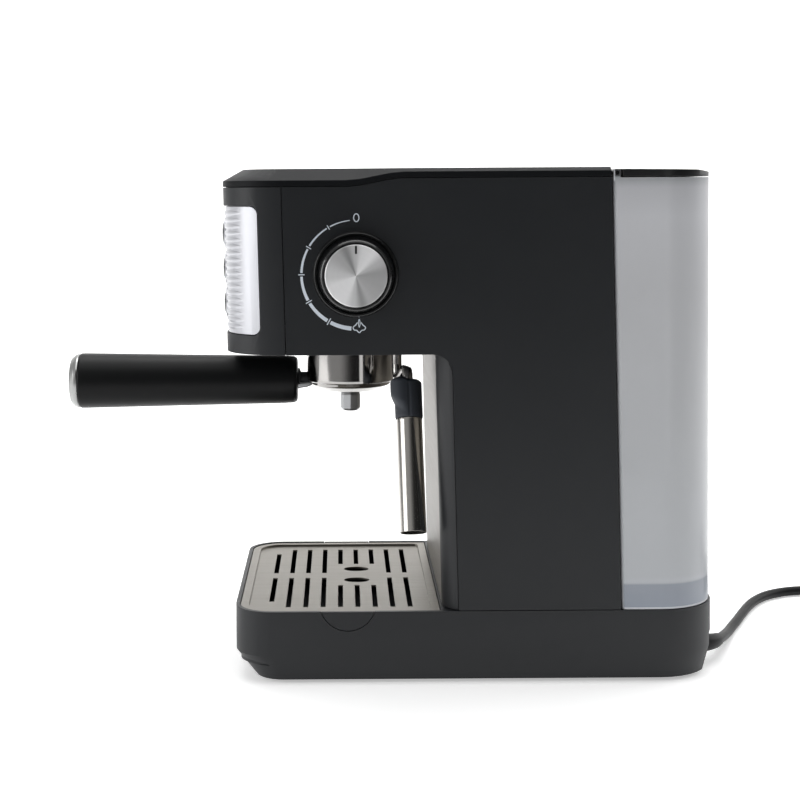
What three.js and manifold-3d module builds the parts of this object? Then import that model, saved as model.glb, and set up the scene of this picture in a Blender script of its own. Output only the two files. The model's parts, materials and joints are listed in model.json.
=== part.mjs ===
// Pump espresso machine with a water tank at the back.
// Millimetres, +Z up, front towards -Y, the steam knob on the +X side. The machine is drawn about the
// middle of its base, and the group is moved at the end so that the origin is the centre of its box's floor.
import * as THREE from 'three';
import { mergeVertices } from 'three/addons/utils/BufferGeometryUtils.js';
import Module from 'manifold-3d';

const wasm = await Module();
wasm.setup();

// Driving dimensions
const bodyWidth = 200;
const baseDepth = 309;
const crownHeight = 327;
const headHeight = 117.4; // underside of the head to the crown
const baseTop = 46.9;
const handleReach = 119.1; // handle end, ahead of the base
const knobReach = 18; // knob front, outside the side shell
const lean = 0.021; // the upper body leans forward by this much for each millimetre of height
const wall = 2.6;
const lidFrontGap = 0.5; // between the top cover and the front of the tank and its lid
const seam = 0.4; // between covers that meet
const touch = 0.3; // between pieces that rest on or screw to each other
const slideGap = 0.4; // round anything that slides or lifts out

// Base and drip tray
const footHeight = 2;
const footRadius = 10;
const footInset = 28; // foot centre from the side of the base
const baseFrontRadius = 24;
const baseRearRadius = 38;
const skirtHeight = 16.4; // tapered band round the bottom of the base
const skirtSide = 6;
const skirtFront = 13;
const skirtRear = 2;
const plateThickness = 2.2;
const trayFloor = 12.4;
const trayWall = 2;
const trayLift = 45; // height over which the tray clears the leaning column
const grilleThickness = 1.5;
const grilleSink = 0.5; // grille below the rim of the base
const grilleDish = 1.5; // slotted floor of the grille below its own rim
const grilleRim = 5.4;
const tabRadius = 18.1;
const tabDepth = 12.6;
const slotWidth = 3.2;
const slotPitch = 11.26;
const slotStart = 22.5; // first column behind the base's front
const slotReach = 80.3; // ends of the slots from the mid-plane
const slotRightFrom = 4.6;
const slotLeftFrom = -9.5;
const slotCorner = 14; // how much shorter the first column's slots end
const lensColumn = 5;
const lensHalfWidth = 6.3;
const lensHalfLength = 8.7;
const lensPlaces = [-20.8, 10.3];
const lensMargin = 8.4; // plate left between a lens and the slots beside it
const slotColumns = 9;
const cordHeight = 14;
const cordSide = 60; // outlet of the cord, right of the middle
const nicheHalf = 17;
const nicheDepth = 13.5;
const nicheHeight = 26;

// Head, column and their covers
const headLead = 0.9; // head front, ahead of the base
const headBow = 2;
const headRadius = 38;
const headSeamSetback = 38.7; // seam between front cover and side shell, from the head front
const columnSetback = 132.5; // column front, from the front of the base
const columnRadius = 17;
const shellSetback = 10; // edge of the side shell behind the column front
const elbowRadius = 13;
const panelThickness = 0.8;
const coverRim = 3.7; // upright rim of the top cover
const frontDip = 11.2; // foot of that rim below the crown, over the group
const rearDip = 6;
const dipStart = 72.5; // where the rim starts to rise, from the front of the base
const dipEnd = 109.5;
const frontBevel = 13;
const rearBevel = 4.5;

// Controls
const bezelSink = 1.2;
const bezelWall = 2.4;
const bezelHeight = 82;
const bezelTop = 23.3; // below the crown
const bezelSetback = 23; // side edge of the bezel, from the head front
const buttonPitch = 24.1;
const buttonRadius = 8.75;
const buttonTravel = 2.5;
const buttonProud = 1.4;
const bossProud = 4.6;
const bossWall = 1.7;
const knobDrop = 66.6; // knob axis and middle button, below the crown
const knobSetback = 78.4; // knob axis, from the front of the base
const knobRadius = 23;
const capRadius = 19.4;
const dialRadius = 27.2;
const spindleRadius = 3;

// Group and portafilter
const groupSetback = 75.2; // group axis, from the front of the base
const collarRadius = 40;
const bowlRadius = 30;
const lugReach = 5.5;
const bowlDrop = 35.7; // bottom of the bowl below the head
const spoutLength = 12.8;
const basketRadius = 25.8;
const handleRadius = 19;
const handleNeckRadius = 16.2;
const handleAxisDrop = 27; // handle axis, below the head
const handleStart = 36.3; // near end of the handle, from the group axis
const endCapDepth = 7;
const boilerRadius = 41;

// Steam wand
const wandSide = 36;
const wandSetback = 106.1; // vertical leg, from the front of the base
const pipeRadius = 3.4;
const wandLean = 0.384; // tangent of the angle that the nozzle leans outwards
const gripRadius = 9.1;
const gripLength = 25.5;
const sleeveRadius = 8.5;
const sleeveLength = 74;

// Water tank
const tankDepth = 61.9;
const tankInset = 1.4; // rear of the tank from the rear of the base
const tankWall = 2.5;
const tankSideInset = 0.6;
const tankRearRadius = 37;
const tankFrontRadius = 3;
const tankSkirt = 19.8; // floor of the tank above the base
const lidRise = 5.4;
const lidPivotRadius = 2.4;

// Cord
const cordRadius = 3.4;
const coilRadius = 36; // middle of the turns
const coilX = -75;
const coilY = 330;
const plugRadius = 18;

const half = bodyWidth / 2;
const baseFront = -baseDepth / 2;
const baseRear = baseDepth / 2;
const headBottom = crownHeight - headHeight;
const headFront = baseFront - headLead;
const headSeam = headFront + headSeamSetback;
const columnFront = baseFront + columnSetback;
const shellEdge = columnFront + shellSetback;
const groupY = baseFront + groupSetback;
const knobY = baseFront + knobSetback;
const knobZ = crownHeight - knobDrop;
const wandY = baseFront + wandSetback;
const tankRear = baseRear - tankInset;
const tankFront = tankRear - tankDepth;
const tankMiddle = (tankFront + tankRear) / 2;
const tankTop = crownHeight - lidRise - 1.3;
const pumpX = -30;
const pumpY = 35;
const pumpLow = baseTop + 14;
const unlockTurn = (50 * Math.PI) / 180; // handle travel from locked to the lugs' slots
const lugTurn = Math.PI / 6;
const frontSeamHeight = crownHeight - frontDip;
const rearSeamHeight = crownHeight - rearDip;
const bezelHigh = crownHeight - bezelTop;
const bezelLow = bezelHigh - bezelHeight;
const handleZ = headBottom - handleAxisDrop;
const grilleTop = baseTop - grilleSink;

const finishes = {
  blackPlastic: { color: 0x242628, roughness: 0.55, metalness: 0 },
  glossBlack: { color: 0x161719, roughness: 0.25, metalness: 0 },
  rubber: { color: 0x2a2e35, roughness: 0.85, metalness: 0 },
  silver: { color: 0xc9cacc, roughness: 0.35, metalness: 0.6 },
  steel: { color: 0xa8a7a2, roughness: 0.35, metalness: 1 },
  chrome: { color: 0xd4d4d6, roughness: 0.08, metalness: 1 },
  frosted: { color: 0xb4b6ba, roughness: 0.5, metalness: 0 },
  aluminium: { color: 0x9c9ea0, roughness: 0.5, metalness: 1 },
  brass: { color: 0xb08d4a, roughness: 0.4, metalness: 1 },
  white: { color: 0xe6e4de, roughness: 0.6, metalness: 0 },
  circuit: { color: 0x2d5a3c, roughness: 0.6, metalness: 0 },
};

const machine = new THREE.Group();

function add(name, geometry, finish) {
  const mesh = new THREE.Mesh(geometry, new THREE.MeshStandardMaterial(finishes[finish]));
  mesh.name = name;
  machine.add(mesh);
}

// Solids, joined and cut
function toSolid(geometry) {
  const bare = new THREE.BufferGeometry();
  bare.setAttribute('position', geometry.getAttribute('position').clone());
  bare.setIndex(geometry.index);
  const merged = mergeVertices(bare, 1e-4);
  const mesh = new wasm.Mesh({
    numProp: 3,
    vertProperties: new Float32Array(merged.getAttribute('position').array),
    triVerts: new Uint32Array(merged.index.array),
  });
  return new wasm.Manifold(mesh);
}

function toGeometry(solid) {
  const { vertProperties, triVerts } = solid.getMesh();
  const geometry = new THREE.BufferGeometry();
  geometry.setAttribute('position', new THREE.BufferAttribute(vertProperties, 3));
  geometry.setIndex(new THREE.BufferAttribute(triVerts, 1));
  return geometry;
}

function join(...pieces) {
  return toGeometry(pieces.map(toSolid).reduce((all, piece) => all.add(piece)));
}

function cut(body, ...tools) {
  return toGeometry(tools.map(toSolid).reduce((left, tool) => left.subtract(tool), toSolid(body)));
}

function common(body, ...others) {
  return toGeometry(others.map(toSolid).reduce((left, other) => left.intersect(other), toSolid(body)));
}

// Shapes and the directions they are extruded in
function roundedShape(corners) {
  const shape = new THREE.Shape();
  corners.forEach(([x, y, radius = 0], i) => {
    const corner = new THREE.Vector2(x, y);
    const before = new THREE.Vector2(...corners.at(i - 1)).sub(corner).normalize();
    const after = new THREE.Vector2(...corners[(i + 1) % corners.length]).sub(corner).normalize();
    const halfAngle = Math.acos(THREE.MathUtils.clamp(before.dot(after), -1, 1)) / 2;
    const start = corner.clone().addScaledVector(before, radius / Math.tan(halfAngle));
    if (i) shape.lineTo(start.x, start.y);
    else shape.moveTo(start.x, start.y);
    if (!radius) return;
    const inwards = before.clone().add(after).normalize();
    const centre = corner.clone().addScaledVector(inwards, radius / Math.sin(halfAngle));
    const turn = Math.sign(after.cross(before)) * (Math.PI - 2 * halfAngle);
    const from = start.clone().sub(centre).angle();
    const steps = Math.max(2, Math.round(Math.abs(turn) / 0.2));
    for (let step = 1; step <= steps; step++) {
      const angle = from + (turn * step) / steps;
      shape.lineTo(centre.x + radius * Math.cos(angle), centre.y + radius * Math.sin(angle));
    }
  });
  return shape;
}

function extruded(shape, depth, xAxis, yAxis, zAxis, start) {
  const geometry = new THREE.ExtrudeGeometry(shape, { depth, bevelEnabled: false, curveSegments: 12 });
  geometry.applyMatrix4(new THREE.Matrix4().makeBasis(xAxis, yAxis, zAxis));
  return geometry.translate(zAxis.x * start, zAxis.y * start, zAxis.z * start);
}

const alongX = new THREE.Vector3(1, 0, 0);
const alongY = new THREE.Vector3(0, 1, 0);
const alongZ = new THREE.Vector3(0, 0, 1);
const upright = (shape, low, high) => extruded(shape, high - low, alongX, alongY, alongZ, low);
const crosswise = (shape, low, high) => extruded(shape, high - low, alongY, alongZ, alongX, low);

function block(x0, x1, y0, y1, z0, z1) {
  const geometry = new THREE.BoxGeometry(x1 - x0, y1 - y0, z1 - z0);
  return geometry.translate((x0 + x1) / 2, (y0 + y1) / 2, (z0 + z1) / 2);
}

// Round pieces: a profile of [radius, height] turned about an axis through a centre
function turned(profile, axis, centre, segments = 32) {
  const points = profile.map(([radius, height]) => new THREE.Vector2(radius, height));
  const geometry = new THREE.LatheGeometry(points, segments);
  geometry.applyQuaternion(new THREE.Quaternion().setFromUnitVectors(alongY, axis));
  return geometry.translate(centre.x, centre.y, centre.z);
}

const disc = (radius, low, high) => [[0, low], [radius, low], [radius, high], [0, high]];

function ring(inner, outer, low, high) {
  return [[outer, low], [outer, high], [inner, high], [inner, low], [outer, low]];
}

// A closed skin through rings of points that correspond, with a flat face on each end
function lofted(rings) {
  const count = rings[0].length;
  const positions = rings.flat().flatMap((point) => [point.x, point.y, point.z]);
  const faces = [];
  for (let level = 0; level + 1 < rings.length; level++) {
    for (let i = 0; i < count; i++) {
      const a = level * count + i;
      const b = level * count + ((i + 1) % count);
      faces.push(a, b, b + count, a, b + count, a + count);
    }
  }
  const last = (rings.length - 1) * count;
  for (let i = 1; i + 1 < count; i++) {
    faces.push(0, i + 1, i, last, last + i, last + i + 1);
  }
  const geometry = new THREE.BufferGeometry();
  geometry.setAttribute('position', new THREE.Float32BufferAttribute(positions, 3));
  geometry.setIndex(faces);
  return geometry;
}

function outlineRing(corners, height) {
  return roundedShape(corners).getPoints(1).map(({ x, y }) => new THREE.Vector3(x, y, height(y)));
}

// A round tube along a smooth curve, with a radius that may change on the way
function tube(points, radius, steps, sides = 8) {
  const curve = new THREE.CatmullRomCurve3(points.map((point) => new THREE.Vector3(...point)), false,
    'centripetal');
  const circle = new THREE.Shape();
  for (let side = 0; side < sides; side++) {
    const angle = (2 * Math.PI * side) / sides;
    if (side) circle.lineTo(radius * Math.cos(angle), radius * Math.sin(angle));
    else circle.moveTo(radius, 0);
  }
  return new THREE.ExtrudeGeometry(circle, { extrudePath: curve, steps, bevelEnabled: false });
}

// The upper body leans forward as it rises
const leanAt = (y, z) => y - lean * (z - baseTop);

function leaned(geometry) {
  const position = geometry.getAttribute('position');
  for (let i = 0; i < position.count; i++) {
    position.setY(i, leanAt(position.getY(i), position.getZ(i)));
  }
  return geometry;
}

// Outlines in plan
function baseCorners(inset, sideTaper = 0, frontTaper = 0, rearTaper = 0) {
  const side = half - inset - sideTaper;
  const front = baseFront + inset + frontTaper;
  const rear = baseRear - inset - rearTaper;
  const frontRadius = baseFrontRadius - inset - sideTaper;
  const rearRadius = baseRearRadius - inset - rearTaper;
  return [[-side, front, frontRadius], [side, front, frontRadius], [side, rear, rearRadius],
    [-side, rear, rearRadius]];
}

function trayCorners(inset) {
  const side = half - inset;
  const front = baseFront + inset;
  const rear = leanAt(columnFront, baseTop + trayLift) - slideGap - (inset - wall);
  const radius = baseFrontRadius - inset;
  return [[-side, front, radius], [side, front, radius], [side, rear, 2], [-side, rear, 2]];
}

function headCorners(inset, rear) {
  const side = half - inset;
  const front = headFront + inset;
  const radius = headRadius - inset;
  return [[-side, rear], [-side, front, radius], [0, front - headBow, 2500], [side, front, radius],
    [side, rear]];
}

function makeBase() {
  const skirtTop = footHeight + skirtHeight;
  const outside = lofted([
    outlineRing(baseCorners(0, skirtSide, skirtFront, skirtRear), () => footHeight),
    outlineRing(baseCorners(0), () => skirtTop),
    outlineRing(baseCorners(0), () => baseTop),
  ]);
  const inside = lofted([
    outlineRing(baseCorners(wall, skirtSide, skirtFront, skirtRear), () => footHeight - 1),
    outlineRing(baseCorners(wall), () => skirtTop),
    outlineRing(baseCorners(wall), () => baseTop - wall),
  ]);
  const trayRear = leanAt(columnFront, baseTop + trayLift);
  const trayBox = block(-half, half, baseFront - 1, trayRear + wall, trayFloor - slideGap - wall,
    baseTop + 1);
  const niche = (grow) => {
    const wide = nicheHalf + grow;
    return block(cordSide - wide, cordSide + wide, baseRear - nicheDepth - grow, baseRear + 1, 0,
      nicheHeight + grow);
  };
  const hollow = cut(inside, trayBox, niche(wall));
  const pocket = upright(roundedShape(trayCorners(wall)), trayFloor - slideGap, baseTop + 1);
  const notch = new THREE.Shape();
  notch.absarc(groupY - 3, baseTop - tabDepth + tabRadius, tabRadius, 0, 2 * Math.PI);
  const hoseHole = turned(disc(6, baseTop - 8, baseTop + 1), alongZ, new THREE.Vector3(pumpX, pumpY, 0),
    16);
  const socketHole = turned(disc(6, baseTop - 8, baseTop + 1), alongZ, new THREE.Vector3(0, tankMiddle, 0),
    16);
  const notches = crosswise(notch, -half - 1, half + 1);
  add('base_pan', cut(outside, hollow, niche(0), pocket, notches, hoseHole, socketHole), 'blackPlastic');

  const plateCorners = baseCorners(wall + touch, skirtSide, skirtFront, skirtRear);
  const plate = upright(roundedShape(plateCorners), footHeight, footHeight + plateThickness);
  add('bottom_plate', cut(plate, niche(wall + touch)), 'blackPlastic');

  const footPlaces = { front: baseFront + skirtFront + footInset, rear: baseRear - baseRearRadius };
  for (const [end, y] of Object.entries(footPlaces)) {
    for (const [side, sign] of [['left', -1], ['right', 1]]) {
      const centre = new THREE.Vector3(sign * (half - footInset), y, 0);
      const profile = [[0, 0], [footRadius - 1, 0], [footRadius, 1], [footRadius, footHeight - touch],
        [0, footHeight - touch]];
      add(`foot_${end}_${side}`, turned(profile, alongZ, centre, 20), 'rubber');
    }
  }
}

function makeTray() {
  const rim = grilleTop - grilleDish - grilleThickness - touch;
  const outside = upright(roundedShape(trayCorners(wall + slideGap)), trayFloor, rim);
  const inside = upright(roundedShape(trayCorners(wall + slideGap + trayWall)), trayFloor + trayWall,
    rim + 1);
  const tab = new THREE.Shape();
  const tabMiddle = baseTop - tabDepth + tabRadius;
  tab.absarc(groupY - 3, tabMiddle, tabRadius - slideGap, 0, 2 * Math.PI);
  const face = half - 0.1;
  const inner = half - wall - slideGap;
  const ears = [[inner - 1, rim], [inner + touch, baseTop - 0.2]].flatMap(([start, top]) => {
    const above = block(-half - 1, half + 1, baseFront, columnFront, top, crownHeight);
    return [cut(crosswise(tab, -face, -start), above), cut(crosswise(tab, start, face), above)];
  });
  add('drip_tray', join(cut(outside, inside), ...ears), 'blackPlastic');
}

function makeGrille() {
  const low = grilleTop - grilleDish - grilleThickness;
  const first = baseFront + slotStart;
  const tools = [];
  for (let column = 0; column < slotColumns; column++) {
    const y = first + column * slotPitch;
    const central = Math.abs(column - lensColumn) < 2;
    const reach = slotReach - (column === 0 ? slotCorner : 0);
    const rightFrom = central ? lensPlaces[1] + lensHalfWidth + lensMargin : slotRightFrom;
    const leftFrom = central ? lensPlaces[0] - lensHalfWidth - lensMargin : slotLeftFrom;
    for (const [x0, x1] of [[rightFrom, reach], [-reach, leftFrom]]) {
      tools.push(block(x0, x1, y - slotWidth / 2, y + slotWidth / 2, low - 1, grilleTop + 1));
    }
  }
  for (const x of lensPlaces) {
    const lens = new THREE.Shape();
    lens.absellipse(x, first + lensColumn * slotPitch, lensHalfWidth, lensHalfLength, 0, 2 * Math.PI);
    tools.push(upright(lens, low - 1, grilleTop + 1));
  }
  const plate = upright(roundedShape(trayCorners(wall + slideGap)), low, grilleTop);
  tools.push(upright(roundedShape(trayCorners(wall + slideGap + grilleRim)), grilleTop - grilleDish,
    grilleTop + 1));
  add('drip_grille', cut(plate, ...tools), 'steel');
}

// The seam under the top cover, from the rear to the front
function seamCurve(drop) {
  return [1, 0.86, 0.68, 0.5, 0.32, 0.14, 0].map((share) => {
    const height = frontSeamHeight + (rearSeamHeight - frontSeamHeight) * THREE.MathUtils.smoothstep(share,
      0, 1);
    return [baseFront + dipStart + (dipEnd - dipStart) * share, height - drop];
  });
}

function shellOutline(grow) {
  const rearTop = rearSeamHeight - seam;
  const frontTop = frontSeamHeight - seam;
  const foot = baseTop + seam - grow;
  const rearEdge = tankFront - slideGap - touch;
  return roundedShape([
    [leanAt(headSeam, headBottom), headBottom - grow],
    [leanAt(shellEdge, headBottom) - grow, headBottom - grow, elbowRadius],
    [leanAt(shellEdge, foot) - grow, foot],
    [leanAt(rearEdge, foot), foot],
    [leanAt(rearEdge, rearTop), rearTop],
    ...seamCurve(seam),
    [leanAt(headSeam, frontTop), frontTop],
  ]);
}

function makeShells() {
  const spindleHole = turned(disc(7, half - 10, half + 10), alongX, new THREE.Vector3(0, knobY, knobZ), 20);
  const right = crosswise(shellOutline(0), half - wall, half);
  add('side_shell_right', cut(right, spindleHole), 'blackPlastic');
  add('side_shell_left', crosswise(shellOutline(0), -half, -half + wall), 'blackPlastic');
}

function bezelWindow(grow) {
  const edge = headFront + bezelSetback + grow;
  const low = bezelLow - grow;
  const high = bezelHigh + grow;
  const shape = roundedShape([[headFront - 20, low], [edge, low, 5], [edge, high, 5],
    [headFront - 20, high]]);
  return crosswise(shape, -half - 1, half + 1);
}

function makeFrontCover() {
  const rear = headSeam - seam;
  const outside = upright(roundedShape(headCorners(0, rear)), headBottom, frontSeamHeight - seam);
  const inside = upright(roundedShape(headCorners(wall, rear + 1)), headBottom - 1, frontSeamHeight + 1);
  add('head_front_cover', leaned(cut(outside, inside, bezelWindow(0))), 'blackPlastic');
}

const buttonHeights = [['power_button', 1], ['brew_button', 0], ['steam_button', -1]];
const bezelFace = headFront - 1.5 + bezelSink; // middle of the bezel, at the height of the base top

function makeControls() {
  const faces = buttonHeights.map(([, row]) => new THREE.Vector3(0, bezelFace, knobZ + row * buttonPitch));
  const outwards = new THREE.Vector3(0, -1, 0);
  const outside = upright(roundedShape(headCorners(bezelSink, headSeam)), bezelLow - 9, bezelHigh + 9);
  const inside = upright(roundedShape(headCorners(bezelSink + bezelWall, headSeam + 1)), bezelLow - 10,
    bezelHigh + 10);
  const strip = common(cut(outside, inside), bezelWindow(-seam));
  const holeRadius = buttonRadius + touch;
  const bosses = faces.map((face) => turned(disc(holeRadius + bossWall, -bezelWall, bossProud), outwards,
    face, 28));
  const holes = faces.map((face) => turned(disc(holeRadius, -20, 20), outwards, face, 28));
  add('control_bezel', leaned(cut(join(strip, ...bosses), ...holes)), 'silver');

  const flangeBack = -bezelWall - touch;
  const flange = buttonRadius + 1.5;
  faces.forEach((face, i) => {
    const profile = [
      [0, flangeBack - 7], [3, flangeBack - 7], [3, flangeBack - 1.5], [flange, flangeBack - 1.5], [flange,
        flangeBack],
      [buttonRadius, flangeBack], [buttonRadius, bossProud + 0.2], [buttonRadius - 1.2,
        bossProud + buttonProud],
      [0, bossProud + buttonProud],
    ];
    add(buttonHeights[i][0], leaned(turned(profile, outwards, face, 24)), 'glossBlack');
  });

  const switchFront = bezelFace + bezelWall + touch + 7 + buttonTravel + 0.3;
  const switches = faces.map(({ z }) => block(-3, 3, switchFront, switchFront + 4, z - 3, z + 3));
  const board = block(-25, 25, switchFront + 3.8, switchFront + 5.4, knobZ - 36, knobZ + 36);
  add('control_board', leaned(join(board, ...switches)), 'circuit');
}

function makeTopCover() {
  const rear = leanAt(tankFront, rearSeamHeight) - slideGap - lidFrontGap;
  const front = leanAt(headFront, frontSeamHeight) - headFront; // plan shift at this height
  const rise = THREE.MathUtils.smoothstep;
  const share = (y) => rise(y, baseFront + dipStart, baseFront + dipEnd);
  const rimTop = (y) => crownHeight - frontDip + coverRim + (frontDip - rearDip) * share(y);
  const outline = outlineRing(headCorners(0, rear), () => 0);
  const stations = [dipStart, dipStart + 9, dipStart + 18, dipStart + 28, dipEnd].map((d) => baseFront + d);
  const nose = outline.filter(({ y }) => y < rear - 1).map((point) => point.setY(point.y + front));
  const left = stations.map((y) => new THREE.Vector3(-half, y, 0)).reverse();
  const right = stations.map((y) => new THREE.Vector3(half, y, 0));
  const edge = [new THREE.Vector3(-half, rear, 0), ...left, ...nose, ...right,
    new THREE.Vector3(half, rear, 0)];
  const crown = ({ x, y }) => {
    const inset = frontBevel + (rearBevel - frontBevel) * share(y);
    const scale = (half - inset) / half;
    const frontEdge = headFront + front - headBow;
    const depth = y > baseFront + dipStart ? 0 : frontBevel * (1 - (y - frontEdge) / (baseFront + dipStart - frontEdge));
    return new THREE.Vector3(x * scale, y + depth, crownHeight);
  };
  const outside = lofted([
    edge.map(({ x, y }) => new THREE.Vector3(x, y, frontSeamHeight - 4)),
    edge.map(({ x, y }) => new THREE.Vector3(x, y, rimTop(y))),
    edge.map(crown),
  ]);
  const under = roundedShape([
    [headFront - 20, frontSeamHeight - 9],
    [rear + 9, frontSeamHeight - 9],
    [rear + 9, rearSeamHeight],
    ...seamCurve(0),
    [headFront - 20, frontSeamHeight],
  ]);
  const rimRoof = frontSeamHeight + coverRim - 1;
  const rimHollow = upright(roundedShape(shifted(headCorners(wall, rear - wall), front)), 0, rimRoof);
  const crownHollow = upright(roundedShape(shifted(headCorners(frontBevel, rear - 4), front)), 0,
    crownHeight - wall);
  const cover = cut(outside, crosswise(under, -half - 1, half + 1), rimHollow, crownHollow);
  add('top_cover', cover, 'blackPlastic');
}

function shifted(corners, dy) {
  return corners.map(([x, y, radius], i) => (i === 0 || i === corners.length - 1 ? [x, y] : [x, y + dy,
    radius]));
}

function makeFloorAndWalls() {
  const front = leanAt(headFront, headBottom);
  const rear = leanAt(shellEdge, headBottom) + 8;
  const inset = wall + touch;
  const corners = [
    [-half + inset, rear], [-half + inset, front + inset, headRadius - inset],
    [half - inset, front + inset, headRadius - inset], [half - inset, rear],
  ];
  const floor = upright(roundedShape(corners), headBottom, headBottom + wall);
  const groupAt = new THREE.Vector3(0, groupY, 0);
  const groupHole = turned(disc(collarRadius + seam, headBottom - 1, headBottom + 9), alongZ, groupAt, 40);
  const wandAt = new THREE.Vector3(wandSide, wandY, 0);
  const wandHole = turned(disc(pipeRadius + 0.8, headBottom - 1, headBottom + 9), alongZ, wandAt, 16);
  add('head_floor', cut(floor, groupHole, wandHole), 'blackPlastic');

  const foot = baseTop + seam;
  const top = headBottom - seam;
  const deep = shellEdge + 12;
  const outsideCorners = (grow) => [
    [-half + grow, deep], [-half + grow, columnFront + grow, columnRadius - grow],
    [half - grow, columnFront + grow, columnRadius - grow], [half - grow, deep],
  ];
  const outside = upright(roundedShape(outsideCorners(0)), foot, top);
  const inside = upright(roundedShape(outsideCorners(2 * wall + touch)), foot - 1, top + 1);
  const panelHalf = half - columnRadius;
  const recess = block(-panelHalf, panelHalf, columnFront - 1, columnFront + panelThickness + touch,
    foot - 1, top + 1);
  const behindShell = crosswise(shellOutline(seam), half - wall - touch, half + 1);
  const behindOther = crosswise(shellOutline(seam), -half - 1, -half + wall + touch);
  const cover = cut(leaned(cut(outside, inside, recess)), behindShell, behindOther);
  add('column_cover', cover, 'blackPlastic');
  const panel = block(-panelHalf + seam, panelHalf - seam, columnFront, columnFront + panelThickness,
    foot + touch, top);
  add('column_panel', leaned(panel), 'steel');

  const back = tankFront - slideGap - touch;
  const wallHalf = half - wall - touch;
  const rearWall = block(-wallHalf, wallHalf, back - wall, back, foot, crownHeight - rearDip - seam);
  add('rear_wall', leaned(rearWall), 'blackPlastic');
}

function makeKnob() {
  const axis = new THREE.Vector3(0, knobY, knobZ);
  const face = half + knobReach;
  const dial = [
    [dialRadius - 3, half + touch], [dialRadius, half + touch], [dialRadius, half + 1.6], [dialRadius - 1,
      half + 3],
    [dialRadius - 2.2, half + 3], [dialRadius - 3, half + 2.2], [dialRadius - 3, half + touch],
  ];
  add('dial_ring', turned(dial, alongX, axis, 40), 'blackPlastic');

  const capSeat = face - 1.8;
  const knob = [
    [spindleRadius + touch, half + 5], [6, half + 5], [6, capSeat - 4], [knobRadius - 3.4, capSeat - 4],
    [knobRadius - 2.4, half + 1], [knobRadius, half + 1], [knobRadius - 0.8, face - 2], [knobRadius - 2,
      face - 0.7],
    [capRadius + 0.4, face - 0.7], [capRadius + 0.4, capSeat], [0, capSeat], [0, capSeat - 2.5],
    [spindleRadius + touch, capSeat - 2.5], [spindleRadius + touch, half + 5],
  ];
  add('steam_knob', turned(knob, alongX, axis, 40), 'glossBlack');
  const cap = [[0, capSeat + touch], [capRadius, capSeat + touch], [capRadius, face - 0.3],
    [capRadius - 0.4, face], [0, face]];
  add('steam_knob_cap', turned(cap, alongX, axis, 40), 'aluminium');
  const spindleEnd = half - 26;
  add('valve_spindle', turned(disc(spindleRadius, spindleEnd, capSeat - 2.8), alongX, axis, 16), 'brass');

  const body = [
    [0, half - 38], [13, half - 38], [13, half - 14], [8, half - 14], [8,
      half - 6], [spindleRadius + touch, half - 6],
    [spindleRadius + touch, spindleEnd - 0.5], [0, spindleEnd - 0.5],
  ];
  const down = turned(disc(4, -17, -8), alongZ, new THREE.Vector3(half - 30, knobY, knobZ), 12);
  const up = turned(disc(4, 8, 17), alongZ, new THREE.Vector3(half - 26, knobY, knobZ), 12);
  add('steam_valve', join(turned(body, alongX, axis, 24), down, up), 'brass');
}

const boilerBottom = headBottom + 16.7;
const boilerTop = boilerBottom + 60;
const lidOfCollar = headBottom + 16.4;

function makeGroup() {
  const at = new THREE.Vector3(0, groupY, 0);
  const lipInner = bowlRadius + 1.5;
  const groove = bowlRadius + lugReach + 1;
  const collar = [
    [lipInner, headBottom], [collarRadius, headBottom], [collarRadius, lidOfCollar], [bowlRadius + 3,
      lidOfCollar],
    [bowlRadius + 3, headBottom + 9.6], [groove, headBottom + 9.6], [groove, headBottom + 3.4],
    [lipInner, headBottom + 3.4], [lipInner, headBottom],
  ];
  const slots = [0, 1, 2].map((i) => {
    const slot = block(bowlRadius, groove, -9, 9, headBottom - 1, headBottom + 5);
    return slot.rotateZ((i * 2 * Math.PI) / 3 + lugTurn - unlockTurn).translate(0, groupY, 0);
  });
  add('group_collar', cut(turned(collar, alongZ, at, 36), ...slots), 'aluminium');
  add('group_gasket', turned(ring(26.5, bowlRadius + 2.6, headBottom + 9.6, lidOfCollar - 0.2), alongZ, at,
    32), 'rubber');
  const screenLow = headBottom + 10.4;
  add('shower_screen', turned(ring(2.8, 24.4, screenLow, screenLow + 1.6), alongZ, at, 32), 'steel');
  const screw = [[0, screenLow - 1.6], [4, screenLow - 1.6], [4, screenLow - 0.3], [2.4, screenLow - 0.3],
    [2.4, lidOfCollar], [0, lidOfCollar]];
  add('shower_screw', turned(screw, alongZ, at, 12), 'steel');
  const baseProfile = disc(boilerRadius, boilerBottom, boilerBottom + 8);
  add('boiler_base', turned(baseProfile, alongZ, at, 32), 'aluminium');
  const low = boilerBottom + 8 + touch;
  const dome = [[0, low], [boilerRadius, low], [boilerRadius, low + 5], [boilerRadius - 4, low + 6],
    [boilerRadius - 4, boilerTop - 9], [boilerRadius - 13, boilerTop], [0, boilerTop]];
  add('boiler', turned(dome, alongZ, at, 32), 'aluminium');
  for (const [name, x] of [['brew_thermostat', -15], ['steam_thermostat', 15]]) {
    const centre = new THREE.Vector3(x, groupY, boilerTop + touch);
    add(name, turned([[0, 0], [8, 0], [8, 4], [5, 4], [5, 11], [0, 11]], alongZ, centre, 16), 'glossBlack');
  }
}


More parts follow.
